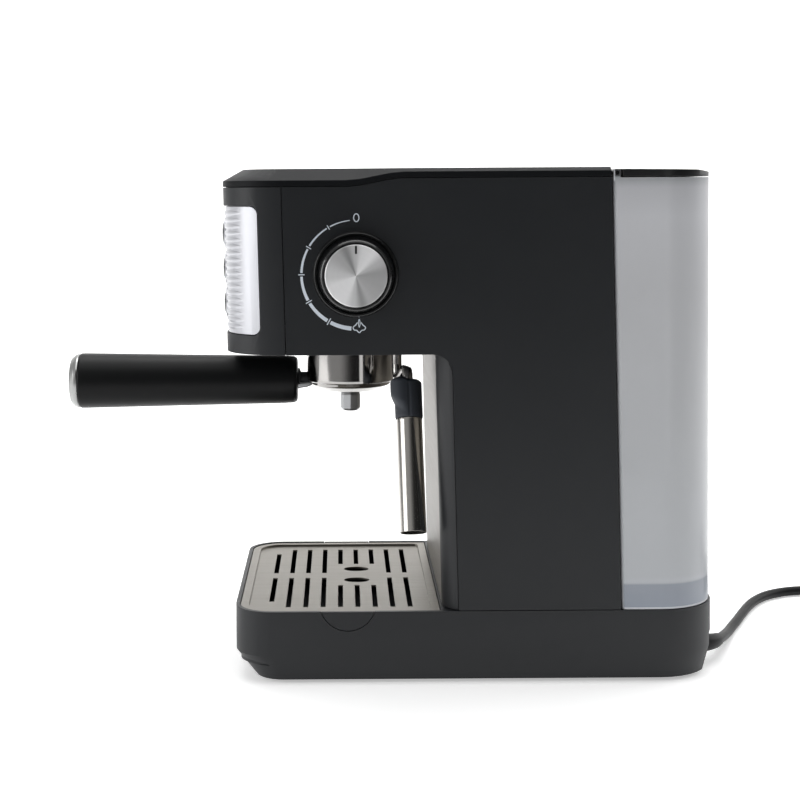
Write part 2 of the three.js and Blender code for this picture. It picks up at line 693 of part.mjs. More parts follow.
function makePortafilter() {
  const at = new THREE.Vector3(0, groupY, 0);
  const rim = headBottom + 7.8;
  const low = headBottom - bowlDrop;
  const bowl = [
    [3, low], [8, low], [17, low + 1.4], [25.5, low + 4.8], [29.2, low + 7.6], [bowlRadius, low + 8.8],
    [bowlRadius, rim], [basketRadius + 0.7, rim], [basketRadius + 0.7, low + 14], [20, low + 6], [3,
      low + 4], [3, low],
  ];
  const lugs = [0, 1, 2].map((i) => {
    const lug = block(bowlRadius - 1.5, bowlRadius + lugReach, -7.5, 7.5, headBottom + 3.9,
      headBottom + 6.9);
    return lug.rotateZ((i * 2 * Math.PI) / 3 + lugTurn).translate(0, groupY, 0);
  });
  const front = new THREE.Vector3(0, -1, 0);
  const neckAt = new THREE.Vector3(0, groupY, handleZ + 0.8);
  const neck = turned([[0, 27.5], [6.5, 27.5], [6.5, handleStart - touch], [4, handleStart - touch],
    [4, handleStart + 34], [0, handleStart + 34]], front, neckAt, 20);
  add('portafilter_body', join(turned(bowl, alongZ, at, 36), ...lugs, neck), 'chrome');

  const basketTop = rim + touch;
  const basketLow = low + 18;
  const basket = [
    [0, basketLow], [basketRadius - 2, basketLow], [basketRadius, basketLow + 2], [basketRadius, basketTop],
    [bowlRadius - 0.4, basketTop], [bowlRadius - 0.4, basketTop + 1], [basketRadius - 0.7, basketTop + 1],
    [basketRadius - 0.7, basketLow + 2], [basketRadius - 2.4, basketLow + 0.8], [0, basketLow + 0.8],
  ];
  add('filter_basket', turned(basket, alongZ, at, 32), 'steel');

  const spoutLow = low - spoutLength;
  const spout = [
    [2.4, spoutLow], [5, spoutLow], [6.9, spoutLow + 2.2], [6.9, low - 1.6], [5.5, low - touch], [2.4,
      low - touch],
    [2.4, spoutLow],
  ];
  add('portafilter_spout', turned(spout, alongZ, at, 8), 'aluminium');

  const handleEnd = groupY - baseFront + handleReach - endCapDepth;
  const axis = new THREE.Vector3(0, groupY, handleZ);
  const handle = [
    [0, handleStart + 36], [4.6, handleStart + 36], [4.6, handleStart], [handleNeckRadius - 3.5,
      handleStart],
    [handleNeckRadius - 1, handleStart + 0.8], [handleNeckRadius, handleStart + 3], [handleRadius,
      handleEnd - 2.5],
    [handleRadius - 0.6, handleEnd - touch], [0, handleEnd - touch],
  ];
  const boreShift = new THREE.Vector3(0, groupY, handleZ + 0.8);
  const solidHandle = turned([[0, handleStart], ...handle.slice(3)], front, axis, 32);
  const bore = turned(disc(4.6, handleStart - 1, handleStart + 36), front, boreShift, 16);
  add('portafilter_handle', cut(solidHandle, bore), 'blackPlastic');
  const endCap = [
    [0, handleEnd], [handleRadius - 0.7, handleEnd], [handleRadius - 1, handleEnd + 3],
    [handleRadius - 4, handleEnd + 5.6], [handleRadius - 10, handleEnd + 6.8], [0, handleEnd + endCapDepth],
  ];
  add('handle_end_cap', turned(endCap, front, axis, 32), 'silver');
}

function makeWand() {
  const gripTop = headBottom - 22.6;
  const foot = new THREE.Vector3(wandSide + 14, wandY + 6.7, gripTop);
  const outwards = new THREE.Vector3(wandLean, 0.018, -1).normalize();
  const along = (distance) => foot.clone().addScaledVector(outwards, distance);
  const nozzleStart = gripLength + 40;
  const points = [
    [wandSide, wandY, headBottom + 13], [wandSide, wandY, headBottom], [wandSide, wandY, headBottom - 15],
    [wandSide + 1.6, wandY + 0.7, headBottom - 20.6], [wandSide + 5, wandY + 2.2, headBottom - 20.8],
    [wandSide + 8, wandY + 4.4, headBottom - 16.4], [wandSide + 11, wandY + 6, headBottom - 14.8],
    [wandSide + 13, wandY + 6.6, headBottom - 17.6], along(1).toArray(), along(nozzleStart * 0.5).toArray(),
    along(nozzleStart).toArray(),
  ];
  add('steam_pipe', tube(points, pipeRadius, 40, 10), 'chrome');

  const grip = [
    [pipeRadius + 0.4, 0], [gripRadius - 2.4, 0], [gripRadius - 0.6, 1], [gripRadius, 3], [gripRadius,
      gripLength],
    [pipeRadius + 0.4, gripLength], [pipeRadius + 0.4, 0],
  ];
  const tabShape = roundedShape([[-gripRadius - 3.6, 2.6, 3], [-4.4, 2.6, 1], [-4.4, 20, 1],
    [-gripRadius + 1, 20, 2]]);
  const tab = new THREE.ExtrudeGeometry(tabShape, { depth: 9, bevelEnabled: false });
  tab.applyMatrix4(new THREE.Matrix4().makeBasis(alongY, alongZ.clone().negate(), alongX.clone().negate()));
  const turn = new THREE.Quaternion().setFromUnitVectors(alongY, outwards);
  const tilt = new THREE.Quaternion().setFromUnitVectors(alongZ.clone().negate(), outwards);
  tab.translate(4.5, 0, 0).applyQuaternion(tilt).translate(foot.x, foot.y, foot.z);
  const bore = new THREE.LatheGeometry(disc(pipeRadius + 0.4, -3,
    gripLength + 3).map(([r, h]) => new THREE.Vector2(r, h)), 20);
  bore.applyQuaternion(turn).translate(foot.x, foot.y, foot.z);
  add('wand_grip', cut(join(turned(grip, outwards, foot, 24), tab), bore), 'rubber');

  const sleeveStart = along(gripLength + touch);
  const sleeve = [
    [pipeRadius + 0.4, 0], [sleeveRadius, 0], [sleeveRadius, sleeveLength], [sleeveRadius - 0.9,
      sleeveLength],
    [sleeveRadius - 0.9, 1.5], [pipeRadius + 0.4, 1.5], [pipeRadius + 0.4, 0],
  ];
  add('frother_sleeve', turned(sleeve, outwards, sleeveStart, 28), 'steel');
  const nozzle = [[1, 0], [4.5, 0], [4.5, 8], [2.5, 12], [1, 12], [1, 0]];
  add('frother_nozzle', turned(nozzle, outwards, along(nozzleStart + touch), 16), 'blackPlastic');

  const housingLow = headBottom + wall + touch;
  const housing = [
    [pipeRadius + 0.4, housingLow], [7, housingLow], [7, housingLow + 10], [5.6, housingLow + 12],
    [5.6, housingLow + 15], [0, housingLow + 15], [0, housingLow + 12.5], [pipeRadius + 0.4,
      housingLow + 12.5],
    [pipeRadius + 0.4, housingLow],
  ];
  add('wand_swivel_housing', turned(housing, alongZ, new THREE.Vector3(wandSide, wandY, 0), 20), 'brass');
}


function makeWaterworks() {
  const at = new THREE.Vector3(pumpX, pumpY, pumpLow);
  const barrel = turned([[0, 0], [5, 0], [5, 8], [17, 8], [17, 84], [9, 88], [5, 90], [5, 100], [0, 100]],
    alongZ, at, 20);
  const coil = block(pumpX - 22, pumpX + 22, pumpY - 20, pumpY + 20, pumpLow + 22, pumpLow + 66);
  add('pump', join(barrel, coil), 'glossBlack');
  const deck = baseTop + touch;
  const plate = block(pumpX - 34, pumpX + 34, pumpY - 16, pumpY + 16, deck, deck + 2);
  const arms = [-1, 1].map((sign) => block(pumpX + sign * 24 - 1, pumpX + sign * 24 + 1, pumpY - 14,
    pumpY + 14, deck + 1, pumpLow + 50));
  const hole = turned(disc(7, deck - 1, deck + 4), alongZ, new THREE.Vector3(pumpX, pumpY, 0), 16);
  add('pump_bracket', cut(join(plate, ...arms), hole), 'steel');

  const socket = [
    [2, baseTop - 12], [4, baseTop - 12], [4, baseTop + touch], [14, baseTop + touch], [14, baseTop + 14],
    [9.4, baseTop + 14], [9.4, baseTop + 3.5], [2, baseTop + 3.5], [2, baseTop - 12],
  ];
  add('tank_socket', turned(socket, alongZ, new THREE.Vector3(0, tankMiddle, 0), 24), 'blackPlastic');

  const hoseRadius = 3;
  const suction = [
    [0, tankMiddle, baseTop - 12.8], [-0.3, tankMiddle - 1, baseTop - 18], [-8, tankMiddle - 25,
      baseTop - 25],
    [-26, pumpY + 20, baseTop - 25], [pumpX, pumpY + 3, baseTop - 17], [pumpX, pumpY, baseTop - 6], [pumpX,
      pumpY, pumpLow - 0.4],
  ];
  add('suction_hose', tube(suction, hoseRadius, 22), 'white');
  const boilerBack = groupY + boilerRadius - 4;
  const pressure = [
    [pumpX, pumpY, pumpLow + 100.4], [pumpX, pumpY - 2, pumpLow + 116], [pumpX + 6, pumpY - 24,
      headBottom + 22],
    [pumpX + 22, boilerBack + 14, headBottom + 40], [pumpX + 24, boilerBack + 0.8, headBottom + 42],
  ];
  add('pressure_hose', tube(pressure, hoseRadius, 22), 'white');
  const valveIn = new THREE.Vector3(half - 26, knobY, knobZ + 17.4);
  const boilerSide = boilerRadius - 4;
  const supply = [
    [boilerSide + 1, groupY, knobZ + 8], [boilerSide + 4, groupY, knobZ + 8.6], [boilerSide + 16,
      groupY + 1, knobZ + 28],
    [valveIn.x - 6, valveIn.y, knobZ + 29], [valveIn.x, valveIn.y, knobZ + 25], valveIn.toArray(),
  ];
  add('boiler_steam_tube', tube(supply, 2.4, 20), 'steel');
  const steam = [
    [half - 30, knobY, knobZ - 17.6], [half - 30.2, knobY, knobZ - 20.5], [half - 42, knobY + 10,
      knobZ - 24.5],
    [wandSide + 6, wandY - 4, knobZ - 25], [wandSide, wandY, knobZ - 28], [wandSide, wandY,
      headBottom + wall + 15.9],
  ];
  add('steam_line', tube(steam, 2.4, 20), 'white');
}

function tankCorners(inset, height) {
  const side = half - tankSideInset - inset;
  const front = leanAt(tankFront, height) + inset;
  const rear = tankRear - inset;
  const small = Math.max(tankFrontRadius - inset, 0.6);
  const large = tankRearRadius - inset;
  return [[-side, front, small], [side, front, small], [side, rear, large], [-side, rear, large]];
}

function tankLoft(inset, low, high) {
  const flat = (height) => outlineRing(tankCorners(inset, height), () => height);
  return lofted([flat(low), flat(high)]);
}

const lidLow = tankTop + 0.6;
const pivotZ = lidLow + lidPivotRadius;
const pivotY = leanAt(tankFront, tankTop) + lidPivotRadius + 0.2;

function makeTank() {
  const floorTop = baseTop + tankSkirt;
  const shell = cut(
    tankLoft(0, baseTop + seam, tankTop),
    tankLoft(tankWall, floorTop, tankTop + 1),
    tankLoft(tankWall, baseTop - 1, floorTop - tankWall),
  );
  const earOuter = half - tankSideInset;
  const ears = [-1, 1].map((sign) => {
    const xs = [sign * earOuter, sign * (earOuter - 2.4)].sort((a, b) => a - b);
    const ear = block(xs[0], xs[1], pivotY - 2.2, pivotY + 2.2, tankTop - 2, pivotZ + 2);
    return cut(ear, turned(disc(1.5, sign * earOuter - 1.9, sign * earOuter + 1.9), alongX,
      new THREE.Vector3(-sign * 0.7, pivotY, pivotZ), 12));
  });
  const valveHole = turned(disc(8.2, 0, floorTop + 1), alongZ, new THREE.Vector3(0, tankMiddle, 0), 20);
  add('water_tank', cut(join(shell, ...ears), valveHole), 'frosted');

  const valve = [
    [0, baseTop + 6], [7, baseTop + 6], [7.9, baseTop + 8], [7.9, floorTop + touch], [11, floorTop + touch],
    [11, floorTop + 2], [4, floorTop + 6], [0, floorTop + 6],
  ];
  add('tank_valve', turned(valve, alongZ, new THREE.Vector3(0, tankMiddle, 0), 20), 'white');

  const lidHigh = lidLow + 2 * lidPivotRadius;
  const profile = roundedShape([
    [pivotY - lidPivotRadius, lidLow, lidPivotRadius - 0.05], [tankRear + 1, lidLow], [tankRear + 1,
      lidHigh - 2.2],
    [tankRear - 12, lidHigh - 0.6, 30], [pivotY - lidPivotRadius, lidHigh, lidPivotRadius - 0.05],
  ]);
  const plan = upright(roundedShape(tankCorners(0, tankTop)), lidLow - 5, lidHigh + 5);
  const notches = [-1, 1].map((sign) => {
    const xs = [sign * (earOuter + 1), sign * (earOuter - 2.8)].sort((a, b) => a - b);
    return block(xs[0], xs[1], pivotY - 5, pivotY + 3.6, lidLow - 5, lidHigh + 5);
  });
  const slab = cut(common(crosswise(profile, -half, half), plan), ...notches);
  const pin = turned(disc(1.1, -earOuter + 0.9, earOuter - 0.9), alongX,
    new THREE.Vector3(0, pivotY, pivotZ), 10);
  add('tank_lid', join(slab, pin), 'glossBlack');
}

// Cord: the outlet bends it aside, it lies behind the machine and is put away in a coil
const outletY = baseRear - nicheDepth + touch;
const reliefRoute = [
  [60, 142.4, 14], [59.4, 148.8, 13.9], [56, 155.4, 13.4], [50.6, 160.9, 12.6], [44.4, 164.6, 11.7],
];
const cordRoute = [
  [44.1, 164.8, 11.6], [37, 168, 10.3], [25, 172.9, 8.2], [12, 178, 6], [0, 183, 4.6], [-14, 189, 3.8],
  [-30, 196.5, 3.6], [-48, 204.8, 3.6], [-66, 213.5, 3.6], [-84, 224, 3.6], [-99, 237, 3.6], [-109, 253,
    3.6],
  [-113.5, 272, 3.6], [-114.4, 289, 3.6], [-114.4, 303, 3.6],
];

function makeCord() {
  const curve = new THREE.CatmullRomCurve3(reliefRoute.map((point) => new THREE.Vector3(...point)), false,
    'centripetal');
  const steps = 8;
  const sides = 16;
  const rings = [];
  for (let step = 0; step <= steps; step++) {
    const centre = curve.getPointAt(step / steps);
    const turn = new THREE.Quaternion().setFromUnitVectors(alongZ, curve.getTangentAt(step / steps));
    const radius = 6.6 - (2.2 * step) / steps;
    rings.push(Array.from({ length: sides }, (_, side) => {
      const angle = (2 * Math.PI * side) / sides;
      return new THREE.Vector3(radius * Math.cos(angle), radius * Math.sin(angle),
        0).applyQuaternion(turn).add(centre);
    }));
  }
  const relief = lofted(rings).translate(cordSide - 60, outletY - 141.3, cordHeight - 14);
  const flange = turned(disc(8.4, 0, 1.6), alongY, new THREE.Vector3(cordSide, outletY, cordHeight), 16);
  add('cord_strain_relief', join(relief, flange), 'rubber');
  add('power_cord', tube(cordRoute, cordRadius, 22), 'rubber');

  const coilAt = new THREE.Vector3(coilX, coilY, 0.2);
  add('cord_coil', turned(ring(coilRadius - 2 * cordRadius, coilRadius + 2 * cordRadius, 0,
    4 * cordRadius), alongZ, coilAt, 32), 'rubber');

  const plugAt = new THREE.Vector3(coilX + 24, coilY + coilRadius + cordRadius, plugRadius + 0.2);
  const plug = [
    [0, 0], [5, 0], [6.5, 18], [10, 22], [12, 30], [16, 38], [plugRadius, 44], [plugRadius,
      60], [plugRadius - 1, 61], [0, 61],
  ];
  const plugTurn = plugAt.clone().setY(plugAt.y + 9);
  add('mains_plug', turned(plug, alongX, plugTurn, 24), 'rubber');
  for (const [name, sign] of [['plug_pin_front', -1], ['plug_pin_rear', 1]]) {
    const pinAt = plugTurn.clone().add(new THREE.Vector3(61 + touch, sign * 9.5, 0));
    add(name, turned([[0, 0], [2.4, 0], [2.4, 17.5], [1.4, 19], [0, 19]], alongX, pinAt, 12), 'steel');
  }
}

makeBase();
makeTray();
makeGrille();
makeShells();
makeFrontCover();
makeControls();
makeTopCover();
makeFloorAndWalls();
makeKnob();
makeGroup();
makePortafilter();
makeWand();
makeWaterworks();
makeTank();
makeCord();

// The origin: centre of the floor of the machine's box, without the cord
machine.position.set(-knobReach / 2, handleReach / 2, 0);

export default machine;
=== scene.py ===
import json
import math
import bpy
import bmesh
from mathutils import Matrix, Vector
from mathutils.bvhtree import BVHTree


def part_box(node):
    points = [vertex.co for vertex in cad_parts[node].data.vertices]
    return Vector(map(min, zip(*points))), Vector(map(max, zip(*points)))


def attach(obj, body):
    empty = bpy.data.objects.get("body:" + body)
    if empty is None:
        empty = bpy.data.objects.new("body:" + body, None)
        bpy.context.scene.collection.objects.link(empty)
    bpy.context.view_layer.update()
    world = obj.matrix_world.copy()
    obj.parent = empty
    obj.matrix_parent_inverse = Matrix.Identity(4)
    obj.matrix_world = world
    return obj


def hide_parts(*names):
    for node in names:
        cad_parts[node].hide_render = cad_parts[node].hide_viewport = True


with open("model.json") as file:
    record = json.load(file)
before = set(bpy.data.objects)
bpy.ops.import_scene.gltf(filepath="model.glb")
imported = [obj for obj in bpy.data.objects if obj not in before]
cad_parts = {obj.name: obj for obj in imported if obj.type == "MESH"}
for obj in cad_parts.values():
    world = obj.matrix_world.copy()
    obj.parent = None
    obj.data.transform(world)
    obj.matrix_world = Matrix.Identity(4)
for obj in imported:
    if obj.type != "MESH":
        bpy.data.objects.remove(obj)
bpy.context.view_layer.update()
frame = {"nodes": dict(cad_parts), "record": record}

bodyOf = {node: body for body, nodes in frame["record"]["behaviour"]["bodies"].items() for node in nodes}
scene = bpy.context.scene
mm = 0.001

machine = {
    "middle": Vector((-9.0, 59.55, 0.0)),  # where the middle of the base lies in the part's own frame
    "halfWidth": 100.0,
    "lean": 0.021,
    "baseTop": 46.9,
    "headFront": -155.4,
    "headRadius": 38.0,
    "groupY": -79.3,
    "knobY": -76.1,
    "knobZ": 260.4,
    "frontSeam": 315.8,
    "rearSeam": 321.0,
    "dip": (-82.0, -45.0),  # where the seam under the top cover starts and ends its rise
}


def at(x, y, z):  # a place on the machine in millimetres, as metres in the part's frame
    return (Vector((x, y, z)) + machine["middle"]) * mm


def leanAt(y, z):  # how far forward a face of the leaning upper body lies at a height
    return y - machine["lean"] * (z - machine["baseTop"])


def boxOf(node):  # the two corners of a node's box, on the machine in millimetres
    return [Vector(corner) / mm - machine["middle"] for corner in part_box(node)]


def newObject(name, data):
    item = bpy.data.objects.new(name, data)
    scene.collection.objects.link(item)
    return item


# ---- camera ----
camera = {"place": (1080.0, -85.9, 313.3), "lens": 70.4, "pitch": -2.0, "roll": -0.35, "sensor": 36,
          "shiftX": 0.075, "shiftY": -0.194}
cameraData = bpy.data.cameras.new("camera")
cameraData.lens = camera["lens"]
cameraData.sensor_width = camera["sensor"]
cameraData.shift_x = camera["shiftX"]
cameraData.shift_y = camera["shiftY"]
cameraObject = newObject("camera", cameraData)
looking = Matrix(((0, 0, 1), (1, 0, 0), (0, 1, 0))).to_4x4()  # along -X, with +Z up
pitch = Matrix.Rotation(math.radians(camera["pitch"]), 4, "Y")
roll = Matrix.Rotation(math.radians(camera["roll"]), 4, "Z")
cameraObject.matrix_world = Matrix.Translation(at(*camera["place"])) @ pitch @ looking @ roll
scene.camera = cameraObject
print("camera placed")


# ---- node helpers and shared shader groups ----
def newGroup(name, inputs, outputs, kind="ShaderNodeTree"):
    tree = bpy.data.node_groups.new(name, kind)
    for label, socketType, default in inputs:
        socket = tree.interface.new_socket(name=label, in_out="INPUT", socket_type="NodeSocket" + socketType)
        if default is not None:
            socket.default_value = default
    for label, socketType in outputs:
        tree.interface.new_socket(name=label, in_out="OUTPUT", socket_type="NodeSocket" + socketType)
    return tree, tree.nodes.new("NodeGroupInput"), tree.nodes.new("NodeGroupOutput")


def place(tree, kind, inputs=(), **settings):  # a node with its settings, and its inputs linked or set
    node = tree.nodes.new(kind)
    for key, value in settings.items():
        setattr(node, key, value)
    for label, value in dict(inputs).items():
        if isinstance(value, bpy.types.NodeSocket):
            tree.links.new(value, node.inputs[label])
        else:
            node.inputs[label].default_value = value
    return node


def mathNode(tree, operation, *values, clamp=False):
    return place(tree, "ShaderNodeMath", enumerate(values), operation=operation, use_clamp=clamp).outputs[0]


def noise(tree, vector, scale, detail, roughness):
    inputs = {"Vector": vector, "Scale": scale, "Detail": detail, "Roughness": roughness}
    return place(tree, "ShaderNodeTexNoise", inputs).outputs["Fac"]


def mixColour(tree, factor, first, second):
    inputs = {"Factor": factor, "A": first, "B": second}
    return place(tree, "ShaderNodeMix", inputs, data_type="RGBA").outputs["Result"]


surfaceOutputs = [("Colour", "Color"), ("Roughness", "Float"), ("Height", "Float")]


def makeGrainGroup():  # fine moulded grain, faint smears and dust
    tree, source, result = newGroup("mouldedGrain", [
        ("Vector", "Vector", None), ("Grain Scale", "Float", 2200.0),
        ("Colour", "Color", (0.5, 0.5, 0.5, 1)),
        ("Dust Colour", "Color", (0.5, 0.5, 0.5, 1)),
        ("Dust", "Float", 0.05), ("Roughness", "Float", 0.5),
        ("Smears", "Float", 0.08),
    ], surfaceOutputs)
    out = source.outputs
    fine = noise(tree, out["Vector"], out["Grain Scale"], 2.0, 0.6)
    broad = noise(tree, out["Vector"], 14.0, 4.0, 0.6)
    middle = noise(tree, out["Vector"], 90.0, 3.0, 0.55)
    dusty = mathNode(tree, "MULTIPLY", mathNode(tree, "POWER", broad, 2.0), out["Dust"], clamp=True)
    tree.links.new(mixColour(tree, dusty, out["Colour"], out["Dust Colour"]), result.inputs["Colour"])
    smear = mathNode(tree, "SUBTRACT", mathNode(tree, "ADD", broad, middle), 1.0)
    swing = mathNode(tree, "MULTIPLY", smear, out["Smears"])
    tree.links.new(mathNode(tree, "ADD", out["Roughness"], swing, clamp=True), result.inputs["Roughness"])
    tree.links.new(fine, result.inputs["Height"])
    return tree


def makeBrushGroup():  # fine lines, along whatever direction the given vector is drawn out in
    tree, source, result = newGroup("brushedLines", [
        ("Vector", "Vector", None), ("Line Scale", "Float", 900.0),
        ("Colour", "Color", (0.5, 0.5, 0.5, 1)),
        ("Line Colour", "Color", (0.3, 0.3, 0.3, 1)),
        ("Contrast", "Float", 0.3), ("Roughness", "Float", 0.3),
        ("Spread", "Float", 0.15),
    ], surfaceOutputs)
    out = source.outputs
    fine = noise(tree, out["Vector"], out["Line Scale"], 3.0, 0.7)
    broad = noise(tree, out["Vector"], mathNode(tree, "MULTIPLY", out["Line Scale"], 0.12), 2.0, 0.5)
    lines = mathNode(tree, "MULTIPLY_ADD", fine, 0.7, mathNode(tree, "MULTIPLY", broad, 0.3))
    share = mathNode(tree, "MULTIPLY", lines, out["Contrast"], clamp=True)
    tree.links.new(mixColour(tree, share, out["Colour"], out["Line Colour"]), result.inputs["Colour"])
    swing = mathNode(tree, "MULTIPLY", mathNode(tree, "SUBTRACT", lines, 0.5), out["Spread"])
    tree.links.new(mathNode(tree, "ADD", out["Roughness"], swing, clamp=True), result.inputs["Roughness"])
    tree.links.new(lines, result.inputs["Height"])
    return tree


grainGroup = makeGrainGroup()
brushGroup = makeBrushGroup()


# ---- materials ----
def linear(hexColour):
    parts = [int(hexColour[i:i + 2], 16) / 255 for i in (0, 2, 4)]
    return tuple(p / 12.92 if p <= 0.04045 else ((p + 0.055) / 1.055) ** 2.4 for p in parts) + (1.0,)


def startMaterial(name, constants):
    material = bpy.data.materials.new(name)
    material.use_nodes = True
    tree = material.node_tree
    shader = tree.nodes["Principled BSDF"]
    for label, value in constants.items():
        shader.inputs[label].default_value = value
    coordinates = place(tree, "ShaderNodeTexCoord").outputs["Object"]
    return material, tree, shader, coordinates


def patterned(tree, shader, pattern, values, bumpStrength, bumpDistance):  # a pattern group feeds the shader
    group = place(tree, "ShaderNodeGroup", values, node_tree=pattern)
    tree.links.new(group.outputs["Colour"], shader.inputs["Base Color"])
    tree.links.new(group.outputs["Roughness"], shader.inputs["Roughness"])
    bump = place(tree, "ShaderNodeBump", {
        "Strength": bumpStrength, "Distance": bumpDistance, "Height": group.outputs["Height"]})
    tree.links.new(bump.outputs["Normal"], shader.inputs["Normal"])


def grained(name, hexColour, roughness, grain, bump, dust=0.03, smears=0.06, metallic=0.0, specular=0.5,
            coat=0.0):
    material, tree, shader, coordinates = startMaterial(name, {
        "Metallic": metallic, "Specular IOR Level": specular, "Coat Weight": coat})
    patterned(tree, shader, grainGroup, {
        "Vector": coordinates, "Grain Scale": grain, "Colour": linear(hexColour),
        "Dust Colour": linear("9a9894"), "Dust": dust, "Roughness": roughness, "Smears": smears,
    }, bump, 0.00008)
    return material


def brushed(name, hexColour, hexLine, roughness, stretch):
    material, tree, shader, coordinates = startMaterial(name, {"Metallic": 1.0})
    mapping = place(tree, "ShaderNodeMapping", {"Vector": coordinates, "Scale": stretch})
    patterned(tree, shader, brushGroup, {
        "Vector": mapping.outputs["Vector"], "Line Scale": 900.0, "Colour": linear(hexColour),
        "Line Colour": linear(hexLine), "Contrast": 0.35, "Roughness": roughness, "Spread": 0.15,
    }, 0.1, 0.00005)
    return material


def rampOf(tree, factor, stops, interpolation):
    ramp = place(tree, "ShaderNodeValToRGB", {"Fac": factor})
    ramp.color_ramp.interpolation = interpolation
    elements = ramp.color_ramp.elements
    for index, (position, colour) in enumerate(stops):
        element = elements[index] if index < 2 else elements.new(position)
        element.position = position
        element.color = colour
    return ramp.outputs["Color"]


def spunFacePaintedReflection(name, centre, shades, roughness):  # turned face with painted reflection: bright and dark wedges round the axis painted into its colour
    material, tree, shader, coordinates = startMaterial(name, {"Metallic": 0.3})
    mapping = place(tree, "ShaderNodeMapping", {"Vector": coordinates, "Location": [-c for c in centre]},
                    vector_type="POINT")
    parts = place(tree, "ShaderNodeSeparateXYZ", {0: mapping.outputs["Vector"]})
    # the angle round the axis picks the brightness of the painted reflection
    angle = mathNode(tree, "ARCTAN2", parts.outputs["Z"], parts.outputs["Y"])
    share = mathNode(tree, "ADD", mathNode(tree, "DIVIDE", angle, 2 * math.pi), 0.5)
    flat = place(tree, "ShaderNodeCombineXYZ", {label: parts.outputs[label] for label in "YZ"})
    length = place(tree, "ShaderNodeVectorMath", {0: flat.outputs[0]}, operation="LENGTH")
    radius = place(tree, "ShaderNodeCombineXYZ", {"X": length.outputs["Value"]})
    stops = [(position, (shade, shade, shade * 1.01, 1)) for position, shade in shades]
    patterned(tree, shader, brushGroup, {
        "Vector": radius.outputs[0], "Colour": rampOf(tree, share, stops, "EASE"), "Line Scale": 4200.0,
        "Line Colour": linear("77787a"), "Contrast": 0.25, "Roughness": roughness, "Spread": 0.1,
    }, 0.15, 0.00003)
    return material


def smokyTankPaintedShade(name, levels, hexEdgeHighlightAndDust, frontEdge, lowEdge, roughness):
    # moulded smoky plastic with painted shade that changes with height, and a painted highlight along its
    # front and lower edges
    material, tree, shader, coordinates = startMaterial(name, {"Coat Weight": 0.2, "IOR": 1.49})
    parts = place(tree, "ShaderNodeSeparateXYZ", {0: coordinates})
    top = levels[-1][0] * mm
    stops = [(height * mm / top, linear(hexColour)) for height, hexColour in levels]
    shade = rampOf(tree, mathNode(tree, "DIVIDE", parts.outputs["Z"], top), stops, "LINEAR")
    upright = mathNode(tree, "MULTIPLY_ADD", parts.outputs["Z"], machine["lean"], parts.outputs["Y"])
    # thin bands at the front and at the foot take the painted highlight
    nearFront = mathNode(tree, "LESS_THAN", upright, frontEdge)
    nearBottom = mathNode(tree, "LESS_THAN", parts.outputs["Z"], lowEdge)
    edge = mathNode(tree, "MULTIPLY", mathNode(tree, "MAXIMUM", nearFront, nearBottom), 0.75)
    # colour of the painted edge highlight
    rim = place(tree, "ShaderNodeRGB")
    rim.outputs[0].default_value = linear(hexEdgeHighlightAndDust)
    patterned(tree, shader, grainGroup, {
        "Vector": coordinates, "Colour": mixColour(tree, edge, shade, rim.outputs[0]), "Grain Scale": 1800.0,
        "Dust Colour": linear(hexEdgeHighlightAndDust), "Dust": 0.25, "Roughness": roughness, "Smears": 0.12,
    }, 0.05, 0.00006)
    return material


tankLow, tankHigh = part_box("water_tank")
tankLevelsPaintedShade = [  # height in millimetres and colour, from the band at the foot, through painted shade that lightens up the tank, to the painted darker shade and the dark rim just under the lid
    (48, "7f8793"), (63, "868c96"), (64.2, "b0b3b8"), (68, "abaeb2"), (150, "b0b2b5"), (250, "b6b7ba"),
    (296, "bfc0c4"), (314, "b4b5b9"), (320.6, "8f9195"), (321.4, "17181a"),
]
capPaintedReflection = [  # share of a turn and brightness of the painted reflection wedges on the turned cap
    (0.0, 0.75), (0.07, 0.98), (0.18, 1.0), (0.235, 0.70), (0.285, 0.36), (0.33, 0.55), (0.38, 0.50),
    (0.45, 0.46), (0.52, 0.42), (0.58, 0.62), (0.645, 0.98), (0.70, 0.92), (0.76, 0.62), (0.81, 0.30),
    (0.86, 0.50), (1.0, 0.75),
]
capCentre = at(machine["halfWidth"], machine["knobY"], machine["knobZ"])
# how far back the painted highlight on the tank's front edge reaches
tankFront = tankLow[1] + machine["lean"] * tankHigh[2] + 1.1 * mm
